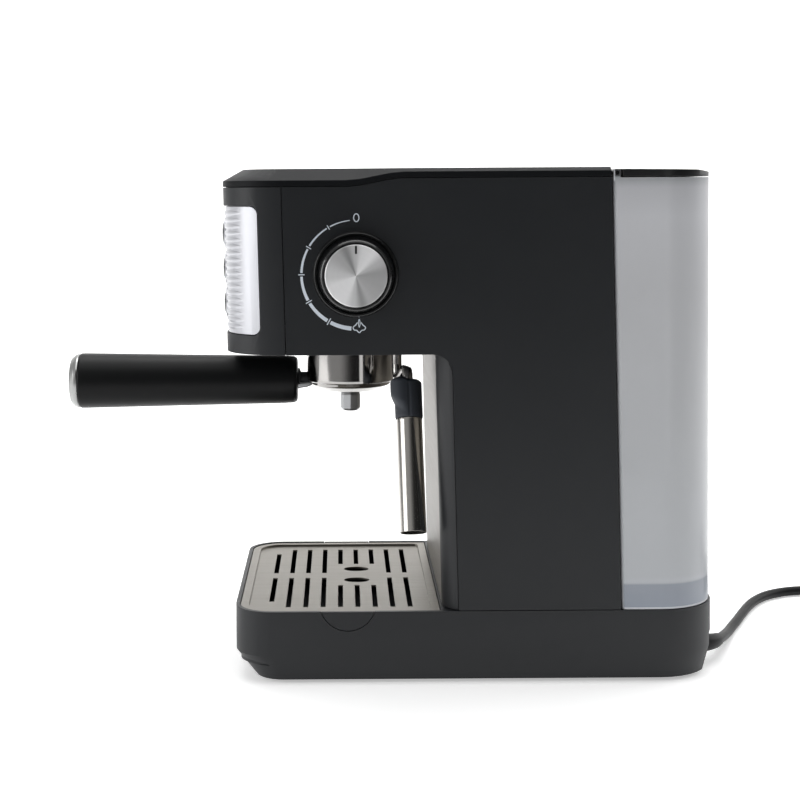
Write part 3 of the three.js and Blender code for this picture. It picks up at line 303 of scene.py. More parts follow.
finish = {
    "casing": grained("casingPlastic", "0f1216", 0.47, 2600.0, 0.1, dust=0.012, specular=0.4),
    "cover": grained("coverPlastic", "0b0d10", 0.5, 2600.0, 0.1, dust=0.01, specular=0.12),
    "lidBlack": grained("lidPlastic", "141517", 0.3, 2600.0, 0.05, dust=0.015, specular=0.4),
    "gloss": grained("glossPlastic", "0f1011", 0.16, 1500.0, 0.02, smears=0.1, coat=0.4),
    "handle": grained("handlePlastic", "0c0d0e", 0.4, 2400.0, 0.06, dust=0.01, specular=0.14),
    "rubber": grained("gripRubber", "2b3038", 0.62, 1600.0, 0.25),
    "foot": grained("footRubber", "16171a", 0.8, 1400.0, 0.3),
    "silver": grained("silverPaint", "c2c3c8", 0.32, 4200.0, 0.04, metallic=0.4, coat=0.15),
    "endCap": grained("endCapMetal", "a0a1a0", 0.28, 4200.0, 0.03, metallic=0.9),
    "chrome": grained("polishedChrome", "a8a6a4", 0.09, 900.0, 0.0, dust=0.0, smears=0.05, metallic=1.0),
    "steel": brushed("brushedSteel", "b9b6af", "8f8c85", 0.3, (0.02, 1.0, 1.0)),
    "grille": brushed("grilleSteel", "848079", "6a6761", 0.42, (1.0, 0.02, 1.0)),
    "panel": brushed("panelSteel", "726e68", "5b5853", 0.42, (0.02, 0.02, 1.0)),
    "sleeve": brushed("sleeveSteel", "c2bfba", "9a9791", 0.17, (1.0, 1.0, 0.03)),
    "aluminium": grained("castAluminium", "a8a9ab", 0.42, 700.0, 0.3, metallic=1.0),
    "brass": grained("machinedBrass", "b89450", 0.3, 900.0, 0.05, metallic=1.0),
    "white": grained("hoseSilicone", "dedbd2", 0.5, 900.0, 0.05),
    "circuit": grained("circuitBoard", "2c5a3d", 0.45, 500.0, 0.2),
    "print": grained("dialPrint", "cfd7e0", 0.5, 3000.0, 0.02),
    "pointer": grained("pointerBlack", "0a0a0b", 0.5, 3000.0, 0.02),
    "cord": grained("cordJacket", "08090b", 0.5, 1500.0, 0.1, dust=0.0, specular=0.25),
    "tank": smokyTankPaintedShade("smokyTankPaintedShade", tankLevelsPaintedShade, "d0d2d6", tankFront, tankLow[2] + 1.2 * mm, 0.36),
    "cap": spunFacePaintedReflection("turnedCapPaintedReflection", capCentre, capPaintedReflection, 0.34),
}
print("materials ready:", len(finish))


# ---- mesh helpers ----
def applyModifiers(item):
    graph = bpy.context.evaluated_depsgraph_get()
    made = bpy.data.meshes.new_from_object(item.evaluated_get(graph))
    item.modifiers.clear()
    old = item.data
    item.data = made
    bpy.data.meshes.remove(old)
    return item


def finishPiece(item, node, material, smooth=32, replaced=True):
    item.data.materials.clear()
    item.data.materials.append(finish[material])
    for polygon in item.data.polygons:
        polygon.use_smooth = True
    item.data.set_sharp_from_angle(angle=math.radians(smooth))
    weigh = item.modifiers.new("weigh", "WEIGHTED_NORMAL")
    weigh.keep_sharp = True
    applyModifiers(item)
    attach(item, bodyOf[node])
    if replaced:
        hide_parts(node)
    return item


def newPiece(name, vertices, faces):
    mesh = bpy.data.meshes.new(name)
    mesh.from_pydata([tuple(v) for v in vertices], [], faces)
    mesh.validate()
    item = newObject(name, mesh)
    work = bmesh.new()
    work.from_mesh(mesh)
    bmesh.ops.remove_doubles(work, verts=work.verts, dist=1e-6)
    bmesh.ops.recalc_face_normals(work, faces=work.faces)
    work.to_mesh(mesh)
    work.free()
    return item


def bevelled(item, width, segments=3, angle=28):
    bevel = item.modifiers.new("bevel", "BEVEL")
    bevel.width = width * mm
    bevel.segments = segments
    bevel.limit_method = "ANGLE"
    bevel.angle_limit = math.radians(angle)
    bevel.use_clamp_overlap = True
    return applyModifiers(item)


def copied(node):  # a merged copy of a solid, free of coplanar edges
    mesh = bpy.data.meshes.new(node + "_shape")
    item = newObject(node + "_shape", mesh)
    work = bmesh.new()
    work.from_mesh(frame["nodes"][node].data)
    bmesh.ops.remove_doubles(work, verts=work.verts, dist=2e-6)
    bmesh.ops.dissolve_limit(work, angle_limit=math.radians(0.4), verts=work.verts, edges=work.edges)
    work.to_mesh(mesh)
    work.free()
    return item


def refined(node, material, bevel, smooth=32):
    item = copied(node)
    if bevel:
        bevelled(item, bevel, 2)
    return finishPiece(item, node, material, smooth)


def filleted(profile, steps=6):  # [radius, height, fillet] with its corners rounded
    rounded = []
    for index, entry in enumerate(profile):
        point = Vector(entry[:2])
        fillet = entry[2] if len(entry) > 2 else 0
        if not fillet or index in (0, len(profile) - 1):
            rounded.append(tuple(point))
            continue
        before = (Vector(profile[index - 1][:2]) - point).normalized()
        after = (Vector(profile[index + 1][:2]) - point).normalized()
        halfAngle = math.acos(max(-1, min(1, before.dot(after)))) / 2
        reach = fillet / math.tan(halfAngle)
        centre = point + (before + after).normalized() * (fillet / math.sin(halfAngle))
        start = point + before * reach - centre
        end = point + after * reach - centre
        sweep = start.angle_signed(end)
        for step in range(steps + 1):
            angle = -sweep * step / steps
            turned = Vector((start.x * math.cos(angle) - start.y * math.sin(angle),
                             start.x * math.sin(angle) + start.y * math.cos(angle)))
            rounded.append(tuple(centre + turned))
    return rounded


def ringFaces(rings, sides, capped=False, looped=False):  # quads from each ring of points to the next
    faces = []
    for ring in range(rings if looped else rings - 1):
        here, there = ring * sides, (ring + 1) % rings * sides
        for side in range(sides):
            beside = (side + 1) % sides
            faces.append((here + side, here + beside, there + beside, there + side))
    if capped:
        faces += [tuple(range(sides)), tuple((rings - 1) * sides + side for side in range(sides))]
    return faces


def ringPoints(centre, across, other, radius, sides):
    turns = [2 * math.pi * side / sides for side in range(sides)]
    return [centre + across * (radius * math.cos(turn)) + other * (radius * math.sin(turn)) for turn in turns]


def revolved(name, profile, centre, axis, segments):
    along = Vector(axis).normalized()
    across = Vector((0, 0, 1)).cross(along) if abs(along.z) < 0.9 else Vector((1, 0, 0)).cross(along)
    across.normalize()
    third = along.cross(across)
    points = []
    for radius, height in profile:
        points += ringPoints(Vector(centre) + along * height, across, third, radius, segments)
    return newPiece(name, [at(*point) for point in points], ringFaces(len(profile), segments))


def swept(name, points, radius, sides):  # a round tube through points in millimetres
    path = smoothed(points)
    spots = []
    normal = None
    for index, point in enumerate(path):
        ahead = path[min(index + 1, len(path) - 1)] - path[max(index - 1, 0)]
        ahead.normalize()
        if normal is None:
            normal = ahead.orthogonal().normalized()
        normal = (normal - ahead * normal.dot(ahead)).normalized()
        spots += ringPoints(point, normal, ahead.cross(normal), radius, sides)
    return newPiece(name, [at(*spot) for spot in spots], ringFaces(len(path), sides, capped=True))


def smoothed(points, steps=8):  # Catmull-Rom through the points, centripetal
    pts = [Vector(p) for p in points]
    pts = [pts[0] * 2 - pts[1]] + pts + [pts[-1] * 2 - pts[-2]]
    path = []
    for i in range(1, len(pts) - 2):
        p0, p1, p2, p3 = pts[i - 1:i + 3]
        t = [0.0]
        for a, b in ((p0, p1), (p1, p2), (p2, p3)):
            t.append(t[-1] + max((b - a).length, 1e-6) ** 0.5)
        for step in range(steps):
            s = t[1] + (t[2] - t[1]) * step / steps
            a1 = p0 * ((t[1] - s) / (t[1] - t[0])) + p1 * ((s - t[0]) / (t[1] - t[0]))
            a2 = p1 * ((t[2] - s) / (t[2] - t[1])) + p2 * ((s - t[1]) / (t[2] - t[1]))
            a3 = p2 * ((t[3] - s) / (t[3] - t[2])) + p3 * ((s - t[2]) / (t[3] - t[2]))
            b1 = a1 * ((t[2] - s) / (t[2] - t[0])) + a2 * ((s - t[0]) / (t[2] - t[0]))
            b2 = a2 * ((t[3] - s) / (t[3] - t[1])) + a3 * ((s - t[1]) / (t[3] - t[1]))
            path.append(b1 * ((t[2] - s) / (t[2] - t[1])) + b2 * ((s - t[1]) / (t[2] - t[1])))
    path.append(pts[-2])
    return path


# ---- mains cord, its coil and plug ----
cord = {
    "radius": 3.4,
    "coilCentre": (-75.0, 330.0),
    "outer": 39.4,
    "inner": 32.6,
    "low": 3.6,
    "high": 10.4,
    "route": [
        (44.1, 164.8, 11.6), (37, 168, 10.3), (25, 172.9, 8.2), (12, 178, 6), (0, 183, 4.6), (-14, 189, 3.8),
        (-30, 196.5, 3.6), (-48, 204.8, 3.6), (-66, 213.5, 3.6), (-84, 224, 3.6), (-99, 237, 3.6),
        (-109, 253, 3.6), (-113.5, 272, 3.6), (-114.4, 289, 3.6), (-114.4, 303, 3.6), (-114.4, 318, 3.6),
    ],
    "toPlug": [(-78, 371.4, 11.6), (-66, 375, 14.6), (-57, 377.6, 17.2), (-50.5, 378.4, 18.2)],
    "stepTurn": 15,  # degrees between the coil's points
    "changeSteps": 6,  # points in which one turn passes to the next
}


def coilPoints():
    # one turn outside and one inside on the table, then one inside and one outside on top of them
    stages = [("outer", "low", 18), ("inner", "low", 18), ("inner", "high", 18), ("outer", "high", 27)]
    laid = []  # radius and height of each point
    for index, (ring, level, steps) in enumerate(stages):
        radius, height = cord[ring], cord[level]
        laid += [(radius, height)] * steps
        if index + 1 < len(stages):
            nextRadius, nextHeight = (cord[key] for key in stages[index + 1][:2])
            for step in range(cord["changeSteps"]):
                mix = (1 - math.cos(math.pi * step / cord["changeSteps"])) / 2
                laid.append((radius + (nextRadius - radius) * mix, height + (nextHeight - height) * mix))
    points = []
    for index, (radius, height) in enumerate(laid):
        turned = math.radians(180 - cord["stepTurn"] * index)
        points.append((cord["coilCentre"][0] + radius * math.cos(turned),
                       cord["coilCentre"][1] + radius * math.sin(turned), height))
    return points


cordPoints = cord["route"] + coilPoints() + cord["toPlug"]
powerLead = swept("mains_lead", cordPoints, cord["radius"], 16)
finishPiece(powerLead, "power_cord", "cord", smooth=60)
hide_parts("cord_coil")
plugShape = refined("mains_plug", "cord", bevel=0.8, smooth=40)
pinFront = refined("plug_pin_front", "chrome", bevel=0)
pinRear = refined("plug_pin_rear", "chrome", bevel=0)
refined("cord_strain_relief", "cord", bevel=0.3, smooth=45)


# ---- covers and inner pieces, each the shape of its solid with rounded edges ----
for node, material, bevel in (
    ("base_pan", "casing", 0.5), ("bottom_plate", "casing", 0.4), ("side_shell_right", "casing", 0.18),
    ("side_shell_left", "casing", 0.18), ("head_front_cover", "casing", 0.3), ("top_cover", "cover", 0.5),
    ("head_floor", "casing", 0.3), ("column_cover", "casing", 0.3), ("rear_wall", "casing", 0.3),
    ("column_panel", "panel", 0.15), ("drip_tray", "casing", 0.3), ("drip_grille", "grille", 0.3),
    ("tank_lid", "lidBlack", 0.6), ("water_tank", "tank", 0.35), ("tank_valve", "white", 0.3),
    ("tank_socket", "casing", 0.3), ("valve_spindle", "brass", 0.2), ("steam_valve", "brass", 0.3),
    ("control_board", "circuit", 0.1), ("control_bezel", "silver", 0.3), ("group_collar", "aluminium", 0.4),
    ("group_gasket", "foot", 0.2), ("shower_screen", "steel", 0.2), ("shower_screw", "steel", 0.2),
    ("boiler_base", "aluminium", 0.5), ("boiler", "aluminium", 0.6), ("brew_thermostat", "gloss", 0.3),
    ("steam_thermostat", "gloss", 0.3), ("pump", "gloss", 0.5), ("pump_bracket", "steel", 0.2),
    ("suction_hose", "white", 0), ("pressure_hose", "white", 0), ("boiler_steam_tube", "steel", 0),
    ("steam_line", "white", 0), ("wand_swivel_housing", "brass", 0.3), ("filter_basket", "steel", 0.1),
    ("frother_nozzle", "casing", 0.2), ("foot_front_left", "foot", 0.3), ("foot_front_right", "foot", 0.3),
    ("foot_rear_left", "foot", 0.3), ("foot_rear_right", "foot", 0.3),
):
    refined(node, material, bevel)
print("covers and inner pieces finished")


# ---- ribs of the control bezel ----
def surfaceOf(node):  # a search tree over a node's faces
    work = bmesh.new()
    work.from_mesh(frame["nodes"][node].data)
    tree = BVHTree.FromBMesh(work)
    work.free()
    return tree


def treeInput(tree, modifier, values):  # sets a modifier's named inputs by their identifiers
    for entry in tree.interface.items_tree:
        if entry.item_type == "SOCKET" and entry.in_out == "INPUT" and entry.name in values:
            modifier[entry.identifier] = values[entry.name]


def startGeometryTree(name, sizes):
    inputs = [("Geometry", "Geometry", None)] + sizes + [("Material", "Material", None)]
    return newGroup(name, inputs, [("Geometry", "Geometry")], "GeometryNodeTree")


def endGeometryTree(tree, source, result, instances):  # realized and given its material
    realized = place(tree, "GeometryNodeRealizeInstances", {"Geometry": instances})
    coloured = place(tree, "GeometryNodeSetMaterial", {
        "Geometry": realized.outputs["Geometry"], "Material": source.outputs["Material"]})
    tree.links.new(coloured.outputs["Geometry"], result.inputs["Geometry"])


def grown(name, tree, vertices, edges, values):  # a mesh grown by a tree from its starting points
    mesh = bpy.data.meshes.new(name)
    mesh.from_pydata([tuple(v) for v in vertices], edges, [])
    item = newObject(name, mesh)
    modifier = item.modifiers.new("grow", "NODES")
    modifier.node_group = tree
    treeInput(tree, modifier, values)
    return applyModifiers(item)


def makeRibTree():  # a tapered bead along a path, repeated down a line
    tree, source, result = startGeometryTree("ribRun", [
        ("Rib Radius", "Float", 0.002), ("Taper Length", "Float", 0.01),
        ("End Share", "Float", 0.45), ("Count", "Int", 18),
        ("Step", "Vector", (0, 0, -0.0042)), ("Sides", "Int", 14),
    ])
    out = source.outputs
    curve = place(tree, "GeometryNodeMeshToCurve", {"Mesh": out["Geometry"]})
    spot = place(tree, "GeometryNodeSplineParameter")
    whole = place(tree, "GeometryNodeSplineLength")
    rest = mathNode(tree, "SUBTRACT", whole.outputs["Length"], spot.outputs["Length"])
    nearest = mathNode(tree, "MINIMUM", spot.outputs["Length"], rest)
    taper = place(tree, "ShaderNodeMapRange", {
        "Value": nearest, "From Max": out["Taper Length"], "To Min": out["End Share"],
    }, interpolation_type="SMOOTHSTEP")
    section = place(tree, "GeometryNodeCurvePrimitiveCircle", {"Radius": 1.0, "Resolution": out["Sides"]})
    bead = place(tree, "GeometryNodeCurveToMesh", {
        "Curve": curve.outputs["Curve"], "Profile Curve": section.outputs["Curve"], "Fill Caps": True,
        "Scale": mathNode(tree, "MULTIPLY", taper.outputs["Result"], out["Rib Radius"])})
    line = place(tree, "GeometryNodeMeshLine", {"Count": out["Count"], "Offset": out["Step"]}, mode="OFFSET")
    copies = place(tree, "GeometryNodeInstanceOnPoints", {
        "Points": line.outputs["Mesh"], "Instance": bead.outputs["Mesh"]})
    endGeometryTree(tree, source, result, copies.outputs["Instances"])
    return tree


ribs = {"radius": 2.15, "sunk": 1.25, "pitch": 4.25, "count": 18, "topZ": 298.9, "clearOfButtons": 13.5,
        "endTurn": 44.0, "taper": 13.0, "endShare": 0.5, "flatSteps": 12, "cornerSteps": 16}
bezelSurface = surfaceOf("control_bezel")


def ribPath(side):  # on the bezel's face, from beside the buttons round the head's corner
    rays = []
    cornerX = machine["halfWidth"] - machine["headRadius"]
    cornerY = machine["headFront"] + machine["headRadius"]
    for step in range(ribs["flatSteps"] + 1):
        x = ribs["clearOfButtons"] + (cornerX - ribs["clearOfButtons"]) * step / ribs["flatSteps"]
        rays.append(((side * x, machine["headFront"] - 40), (0.0, 1.0)))
    for step in range(1, ribs["cornerSteps"] + 1):
        turned = math.radians(90 - (90 - ribs["endTurn"]) * step / ribs["cornerSteps"])
        across, ahead = side * math.cos(turned), -math.sin(turned)
        rays.append(((side * cornerX + across * 90, cornerY + ahead * 90), (-across, -ahead)))
    path = []
    for (x, y), (across, ahead) in rays:
        inward = Vector((across, ahead, 0))
        hit = bezelSurface.ray_cast(at(x, y, ribs["topZ"]), inward)[0]
        path.append(hit + inward * (ribs["sunk"] * mm))
    return path


ribTree = makeRibTree()
for side, name in ((1, "bezel_ribs_right"), (-1, "bezel_ribs_left")):
    path = ribPath(side)
    run = grown(name, ribTree, path, [(i, i + 1) for i in range(len(path) - 1)], {
        "Rib Radius": ribs["radius"] * mm, "Taper Length": ribs["taper"] * mm, "End Share": ribs["endShare"],
        "Count": ribs["count"], "Step": (0, machine["lean"] * ribs["pitch"] * mm, -ribs["pitch"] * mm),
        "Material": finish["silver"],
    })
    finishPiece(run, "control_bezel", "silver", smooth=50, replaced=False)
print("bezel ribbed")


# ---- buttons ----
button = {"radius": 8.6, "rimInset": 2.4, "rimDrop": 0.2, "rimRound": 1.5, "edgeDrop": 1.7, "edgeRound": 1.0,
          "middleDrop": 0.9}
for node in ("power_button", "brew_button", "steam_button"):
    low, high = boxOf(node)
    depth = high.y - low.y
    cap = revolved(node + "_cap", filleted([
        [0, depth - button["middleDrop"]],
        [button["radius"] - button["rimInset"], depth - button["rimDrop"], button["rimRound"]],
        [button["radius"], depth - button["edgeDrop"], button["edgeRound"]], [button["radius"], 0], [0, 0],
    ]), ((low.x + high.x) / 2, high.y, (low.z + high.z) / 2), (0, -1, 0), 72)
    finishPiece(cap, node, "gloss", smooth=50)
print("buttons domed")


# ---- steam knob, its dial ring and the printed dial ----
knob = {"radius": 23.0, "capRadius": 19.4, "face": 118.0, "sides": 144,
        "flutes": 60, "fluteRadius": 0.55, "fluteLength": 9.0, "fluteSunk": 0.45, "fluteMiddle": 6.2}
dialRing = {"outer": 27.2, "inner": 24.2}
knobCentre = Vector((0.0, machine["knobY"], machine["knobZ"]))


def makeFluteTree():  # short ribs standing round an axis
    tree, source, result = startGeometryTree("fluteRing", [
        ("Flute Radius", "Float", 0.0005), ("Length", "Float", 0.01),
    ])
    out = source.outputs
    bar = place(tree, "GeometryNodeMeshCylinder", {
        "Vertices": 8, "Radius": out["Flute Radius"], "Depth": out["Length"]}, fill_type="NGON")
    laid = place(tree, "GeometryNodeTransform", {
        "Rotation": (0, math.pi / 2, 0), "Geometry": bar.outputs["Mesh"]})
    copies = place(tree, "GeometryNodeInstanceOnPoints", {
        "Points": out["Geometry"], "Instance": laid.outputs["Geometry"]})
    endGeometryTree(tree, source, result, copies.outputs["Instances"])
    return tree


knobAxis = (1, 0, 0)
knobBack = boxOf("steam_knob")[0].x
face = knob["face"]
body = revolved("knob_body", filleted([
    [0, knobBack], [knob["radius"] - 0.6, knobBack, 0.3], [knob["radius"] - 0.3, face - 5.4, 0.5],
    [knob["radius"] - 0.9, face - 1.5, 1.2], [knob["capRadius"] + 1.6, face - 0.5, 0.4],
    [knob["capRadius"] + 0.5, face - 1.6, 0.2], [knob["capRadius"] + 0.4, face - 2.2], [0, face - 2.2],
]), knobCentre, knobAxis, knob["sides"])
finishPiece(body, "steam_knob", "gloss", smooth=40)
# the cap's finish carries the painted reflection wedges
cap = revolved("knob_cap", filleted([
    [0, face - 2.1], [knob["capRadius"], face - 2.1, 0.1], [knob["capRadius"], face - 0.4, 0.3],
    [knob["capRadius"] - 0.5, face, 0.2], [0, face],
]), knobCentre, knobAxis, knob["sides"])
finishPiece(cap, "steam_knob_cap", "cap", smooth=30)
fluteFoot = Vector((knobBack + knob["fluteMiddle"], knobCentre.y, knobCentre.z))
flutePoints = ringPoints(fluteFoot, Vector((0, 1, 0)), Vector((0, 0, 1)), knob["radius"] - knob["fluteSunk"],
                         knob["flutes"])
flutes = grown("knob_flutes", makeFluteTree(), [at(*point) for point in flutePoints], [], {
    "Flute Radius": knob["fluteRadius"] * mm, "Length": knob["fluteLength"] * mm,
    "Material": finish["gloss"]})
finishPiece(flutes, "steam_knob", "gloss", smooth=50, replaced=False)
ringBack, ringFace = (corner.x for corner in boxOf("dial_ring"))
ring = revolved("dial_bezel", filleted([
    [dialRing["inner"], ringBack], [dialRing["outer"] - 0.8, ringBack],
    [dialRing["outer"], machine["halfWidth"] + 0.3], [dialRing["outer"], machine["halfWidth"] + 0.9, 0.3],
    [dialRing["outer"] - 1.2, ringFace, 0.5], [dialRing["inner"] + 0.6, ringFace - 0.2, 0.3],
    [dialRing["inner"], ringFace - 1.0], [dialRing["inner"], ringBack],
]), knobCentre, knobAxis, knob["sides"])
finishPiece(ring, "dial_ring", "gloss", smooth=40)

dial = {"radius": 34.1, "thin": 0.55, "thick": 2.6, "start": 6.0, "end": 175.0,
        "ticks": [30, 60, 90, 120, 150], "gap": 1.15, "tick": 0.62, "tickOver": 1.15,
        "stroke": 0.62, "jetStroke": 0.5, "low": 99.97, "high": 100.07,
        "noughtAt": (0.5, 35.6), "noughtWide": 1.65, "noughtTall": 2.45, "steamAt": (2.0, -32.4)}
steamCloud = [(1.1, 2.2), (2.2, 0.7), (3.9, -1.0), (3.1, -2.5), (1.7, -2.7), (0, -4.2)]  # its right half
steamJet = [(0.0, -1.0), (0.55, 1.4), (0.0, 4.2), (-0.55, 1.4)]
pointer = {"halfWidth": 0.65, "near": 13.6, "far": 18.6, "sunk": 0.03, "proud": 0.08}


def printed(name, outlines, low, high, material="print", node="side_shell_right"):
    # flat marks a few hundredths thick, each an outer and an inner edge of equal counts, seen from the side
    vertices, faces = [], []
    for outer, inner, closed in outlines:
        start, count = len(vertices), len(outer)
        for row in (outer, inner):
            for height in (low, high):
                vertices += [at(height, knobCentre.y + y, knobCentre.z + z) for y, z in row]
        a, b, c, d = (start + count * k for k in range(4))
        for i in range(count if closed else count - 1):
            j = (i + 1) % count
            faces += [(b + i, b + j, d + j, d + i), (a + j, a + i, c + i, c + j),
                      (a + i, a + j, b + j, b + i), (c + j, c + i, d + i, d + j)]
        if not closed:
            faces += [(a, b, d, c), (a + count - 1, c + count - 1, d + count - 1, b + count - 1)]
    item = newPiece(name, vertices, faces)
    return finishPiece(item, node, material, smooth=30, replaced=False)


def polar(radius, degrees):  # from the top of the dial, turning towards the front
    return (-radius * math.sin(math.radians(degrees)), radius * math.cos(math.radians(degrees)))


def thicknessAt(degrees):
    share = (degrees - dial["start"]) / (dial["end"] - dial["start"])
    return dial["thin"] + (dial["thick"] - dial["thin"]) * share


def arcMark(first, last, steps=24):
    turns = [first + (last - first) * step / steps for step in range(steps + 1)]
    outer = [polar(dial["radius"] + thicknessAt(turn) / 2, turn) for turn in turns]
    inner = [polar(dial["radius"] - thicknessAt(turn) / 2, turn) for turn in turns]
    return outer, inner, False


def tickMark(degrees):
    half = math.degrees(dial["tick"] / 2 / dial["radius"])
    reach = thicknessAt(degrees) / 2 + dial["tickOver"]
    outer, inner = ([polar(radius, turn) for turn in (degrees - half, degrees + half)]
                    for radius in (dial["radius"] + reach, dial["radius"] - reach))
    return outer, inner, False


def looped(centre, points, stroke, closed=True):  # a line of even width through points about a centre
    outer, inner = [], []
    for index, point in enumerate(points):
        along = (Vector(points[(index + 1) % len(points)]) - Vector(points[index - 1])).normalized()
        normal = Vector((along.y, -along.x))
        outer.append(tuple(Vector(centre) + Vector(point) + normal * (stroke / 2)))
        inner.append(tuple(Vector(centre) + Vector(point) - normal * (stroke / 2)))
    return outer, inner, closed


def smoothFlat(points, steps):  # a smooth line through flat points
    return [(point.x, point.y) for point in smoothed([(x, y, 0) for x, y in points], steps)]


marks = []
gapTurn = math.degrees(dial["gap"] / dial["radius"])
stops = [dial["start"]] + dial["ticks"] + [dial["end"]]
for index in range(len(stops) - 1):
    first = stops[index] + (gapTurn if index else 0)
    last = stops[index + 1] - (gapTurn if index + 2 < len(stops) else 0)
    marks.append(arcMark(first, last))
marks += [tickMark(degrees) for degrees in dial["ticks"]]
nought = [(dial["noughtWide"] * math.cos(turn), dial["noughtTall"] * math.sin(turn))
          for turn in [2 * math.pi * step / 32 for step in range(32)]]
cloud = smoothFlat(steamCloud + [(-x, y) for x, y in reversed(steamCloud[:-1])], 4)
marks.append(looped(dial["noughtAt"], nought, dial["stroke"]))
marks.append(looped(dial["steamAt"], cloud, dial["stroke"], closed=False))
marks.append(looped(dial["steamAt"], smoothFlat(steamJet + steamJet[:1], 5)[:-1], dial["jetStroke"]))
printed("dial_print", marks, dial["low"], dial["high"])
pointerSides = [[(side * pointer["halfWidth"], reach) for reach in (pointer["far"], pointer["near"])]
                for side in (-1, 1)]
printed("knob_pointer", [(*pointerSides, False)], face - pointer["sunk"], face + pointer["proud"],
        "pointer", "steam_knob_cap")
print("knob and dial finished")


# ---- portafilter ----
holder = {"radius": 30.0, "inside": 28.2, "neckZ": 183.4, "handleZ": 182.6,
          "pinRadius": 4.2, "pinDepth": 20.0}
groupCentre = Vector((0.0, machine["groupY"], 0.0))
towardsUser = (0, -1, 0)
bottom, rim = (corner.z for corner in boxOf("portafilter_body"))
bowl = revolved("holder_bowl", filleted([
    [0, bottom], [9, bottom, 1], [20, bottom + 2.0, 6], [27.4, bottom + 5.6, 3], [28.6, bottom + 7.9, 0.6],
    [holder["radius"] - 0.1, bottom + 8.6, 0.5], [holder["radius"], bottom + 10.2, 0.8],
    [holder["radius"], rim, 0.5], [holder["inside"], rim, 0.4], [holder["inside"], bottom + 14.2, 2],
    [20, bottom + 6.4, 3], [0, bottom + 4.4],
]), groupCentre, (0, 0, 1), 160)
finishPiece(bowl, "portafilter_body", "chrome", smooth=50)

handleEnd, handleFront = (corner.y for corner in boxOf("portafilter_handle"))
near = machine["groupY"] - handleFront  # ends of the handle, from the group's axis
far = machine["groupY"] - handleEnd
neckCentre = Vector((0.0, machine["groupY"], holder["neckZ"]))
# the neck is chrome, given the dark rubber finish so that it shows dark: painted dark reflection
neck = revolved("holder_neck", filleted([
    [0, 28.0], [4.4, 28.0], [4.4, near - 2.0, 0.6], [6.9, near - 1.4, 0.5], [6.9, near - 0.3, 0.3],
    [3.9, near - 0.3], [3.9, near + holder["pinDepth"]], [0, near + holder["pinDepth"]],
]), neckCentre, towardsUser, 48)
finishPiece(neck, "portafilter_body", "foot", smooth=40, replaced=False)

# the cast arm below the neck, from the handle to a blunt nose against the bowl: distance from the group's
# axis, half its width, and its lower and upper edge
tongue = {"sides": 24, "blunt": 0.6, "sections": [
    (near - 0.4, 6.2, 176.4, 181.6), (33.4, 5.6, 176.9, 181.4), (30.2, 4.9, 177.3, 181.6),
    (27.4, 3.6, 178.2, 181.4), (25.8, 1.9, 179.0, 180.8)]}


def bluntly(share):  # squares a circle's sine or cosine off towards its corners
    return math.copysign(abs(share) ** tongue["blunt"], share)


tongueSpots = []
for reach, halfWide, lowZ, highZ in tongue["sections"]:
    for side in range(tongue["sides"]):
        turn = 2 * math.pi * (side + 0.5) / tongue["sides"]
        tongueSpots.append(at(halfWide * bluntly(math.cos(turn)), machine["groupY"] - reach,
                              (lowZ + highZ) / 2 + (highZ - lowZ) / 2 * bluntly(math.sin(turn))))
tongueFaces = ringFaces(len(tongue["sections"]), tongue["sides"], capped=True)
finishPiece(newPiece("holder_tongue", tongueSpots, tongueFaces), "portafilter_body", "aluminium", smooth=40,
            replaced=False)

lug = {"root": 29.0, "reach": 35.4, "halfWidth": 7.4, "taper": 1.2, "low": 213.6, "high": 216.4, "bevel": 0.5}
lugTip = lug["halfWidth"] - lug["taper"]
lugOutline = [(lug["root"], -lug["halfWidth"]), (lug["reach"], -lugTip), (lug["reach"], lugTip),
              (lug["root"], lug["halfWidth"])]
for index, letter in enumerate("abc"):
    turned = Matrix.Rotation(index * 2 * math.pi / 3 + math.pi / 6, 3, "Z")
    corners = [turned @ Vector((x, y, z)) + groupCentre
               for z in (lug["low"], lug["high"]) for x, y in lugOutline]
    ear = newPiece("holder_lug_" + letter, [at(*corner) for corner in corners], ringFaces(2, 4, capped=True))
    bevelled(ear, lug["bevel"], 3)
    finishPiece(ear, "portafilter_body", "chrome", replaced=False)

spoutLow, spoutHigh = (corner.z for corner in boxOf("portafilter_spout"))
spoutBore, spoutRadius = 2.6, 6.8
spout = revolved("holder_spout", filleted([
    [spoutBore, spoutLow + 0.2], [5.2, spoutLow, 0.3], [spoutRadius, spoutLow + 1.7, 0.5],
    [spoutRadius, spoutHigh - 1.5, 0.4], [6.2, spoutHigh - 0.1], [spoutBore, spoutHigh - 0.1],
    [spoutBore, spoutLow + 0.2],
]), groupCentre, (0, 0, 1), 8)
bevelled(spout, 0.35, 3, 30)
finishPiece(spout, "portafilter_spout", "aluminium", smooth=25)

handleCentre = Vector((0.0, machine["groupY"], holder["handleZ"]))
handle = revolved("holder_handle", filleted([
    [0, near + holder["pinDepth"] + 0.2], [holder["pinRadius"], near + holder["pinDepth"] + 0.2],
    [holder["pinRadius"], near], [12.4, near, 1], [14.8, near + 0.4, 1.6], [16.0, near + 2.6, 1.6],
    [16.4, near + 9, 8], [17.6, near + (far - near) * 0.52, 40], [18.9, far - 5, 3], [18.9, far - 1.4, 0.8],
    [18.2, far - 0.2, 0.4], [0, far - 0.2],
]), handleCentre, towardsUser, 128)
finishPiece(handle, "portafilter_handle", "handle", smooth=50)
capEnd = machine["groupY"] - boxOf("handle_end_cap")[0].y
endCap = revolved("holder_end_cap", filleted([
    [0, far], [18.2, far], [18.5, far + 0.9, 0.4], [18.0, far + 2.6, 1.2], [15.4, capEnd - 1.7, 3],
    [9, capEnd - 0.5, 5], [0, capEnd - 0.1],
]), handleCentre, towardsUser, 128)
finishPiece(endCap, "handle_end_cap", "endCap", smooth=50)
print("portafilter finished")


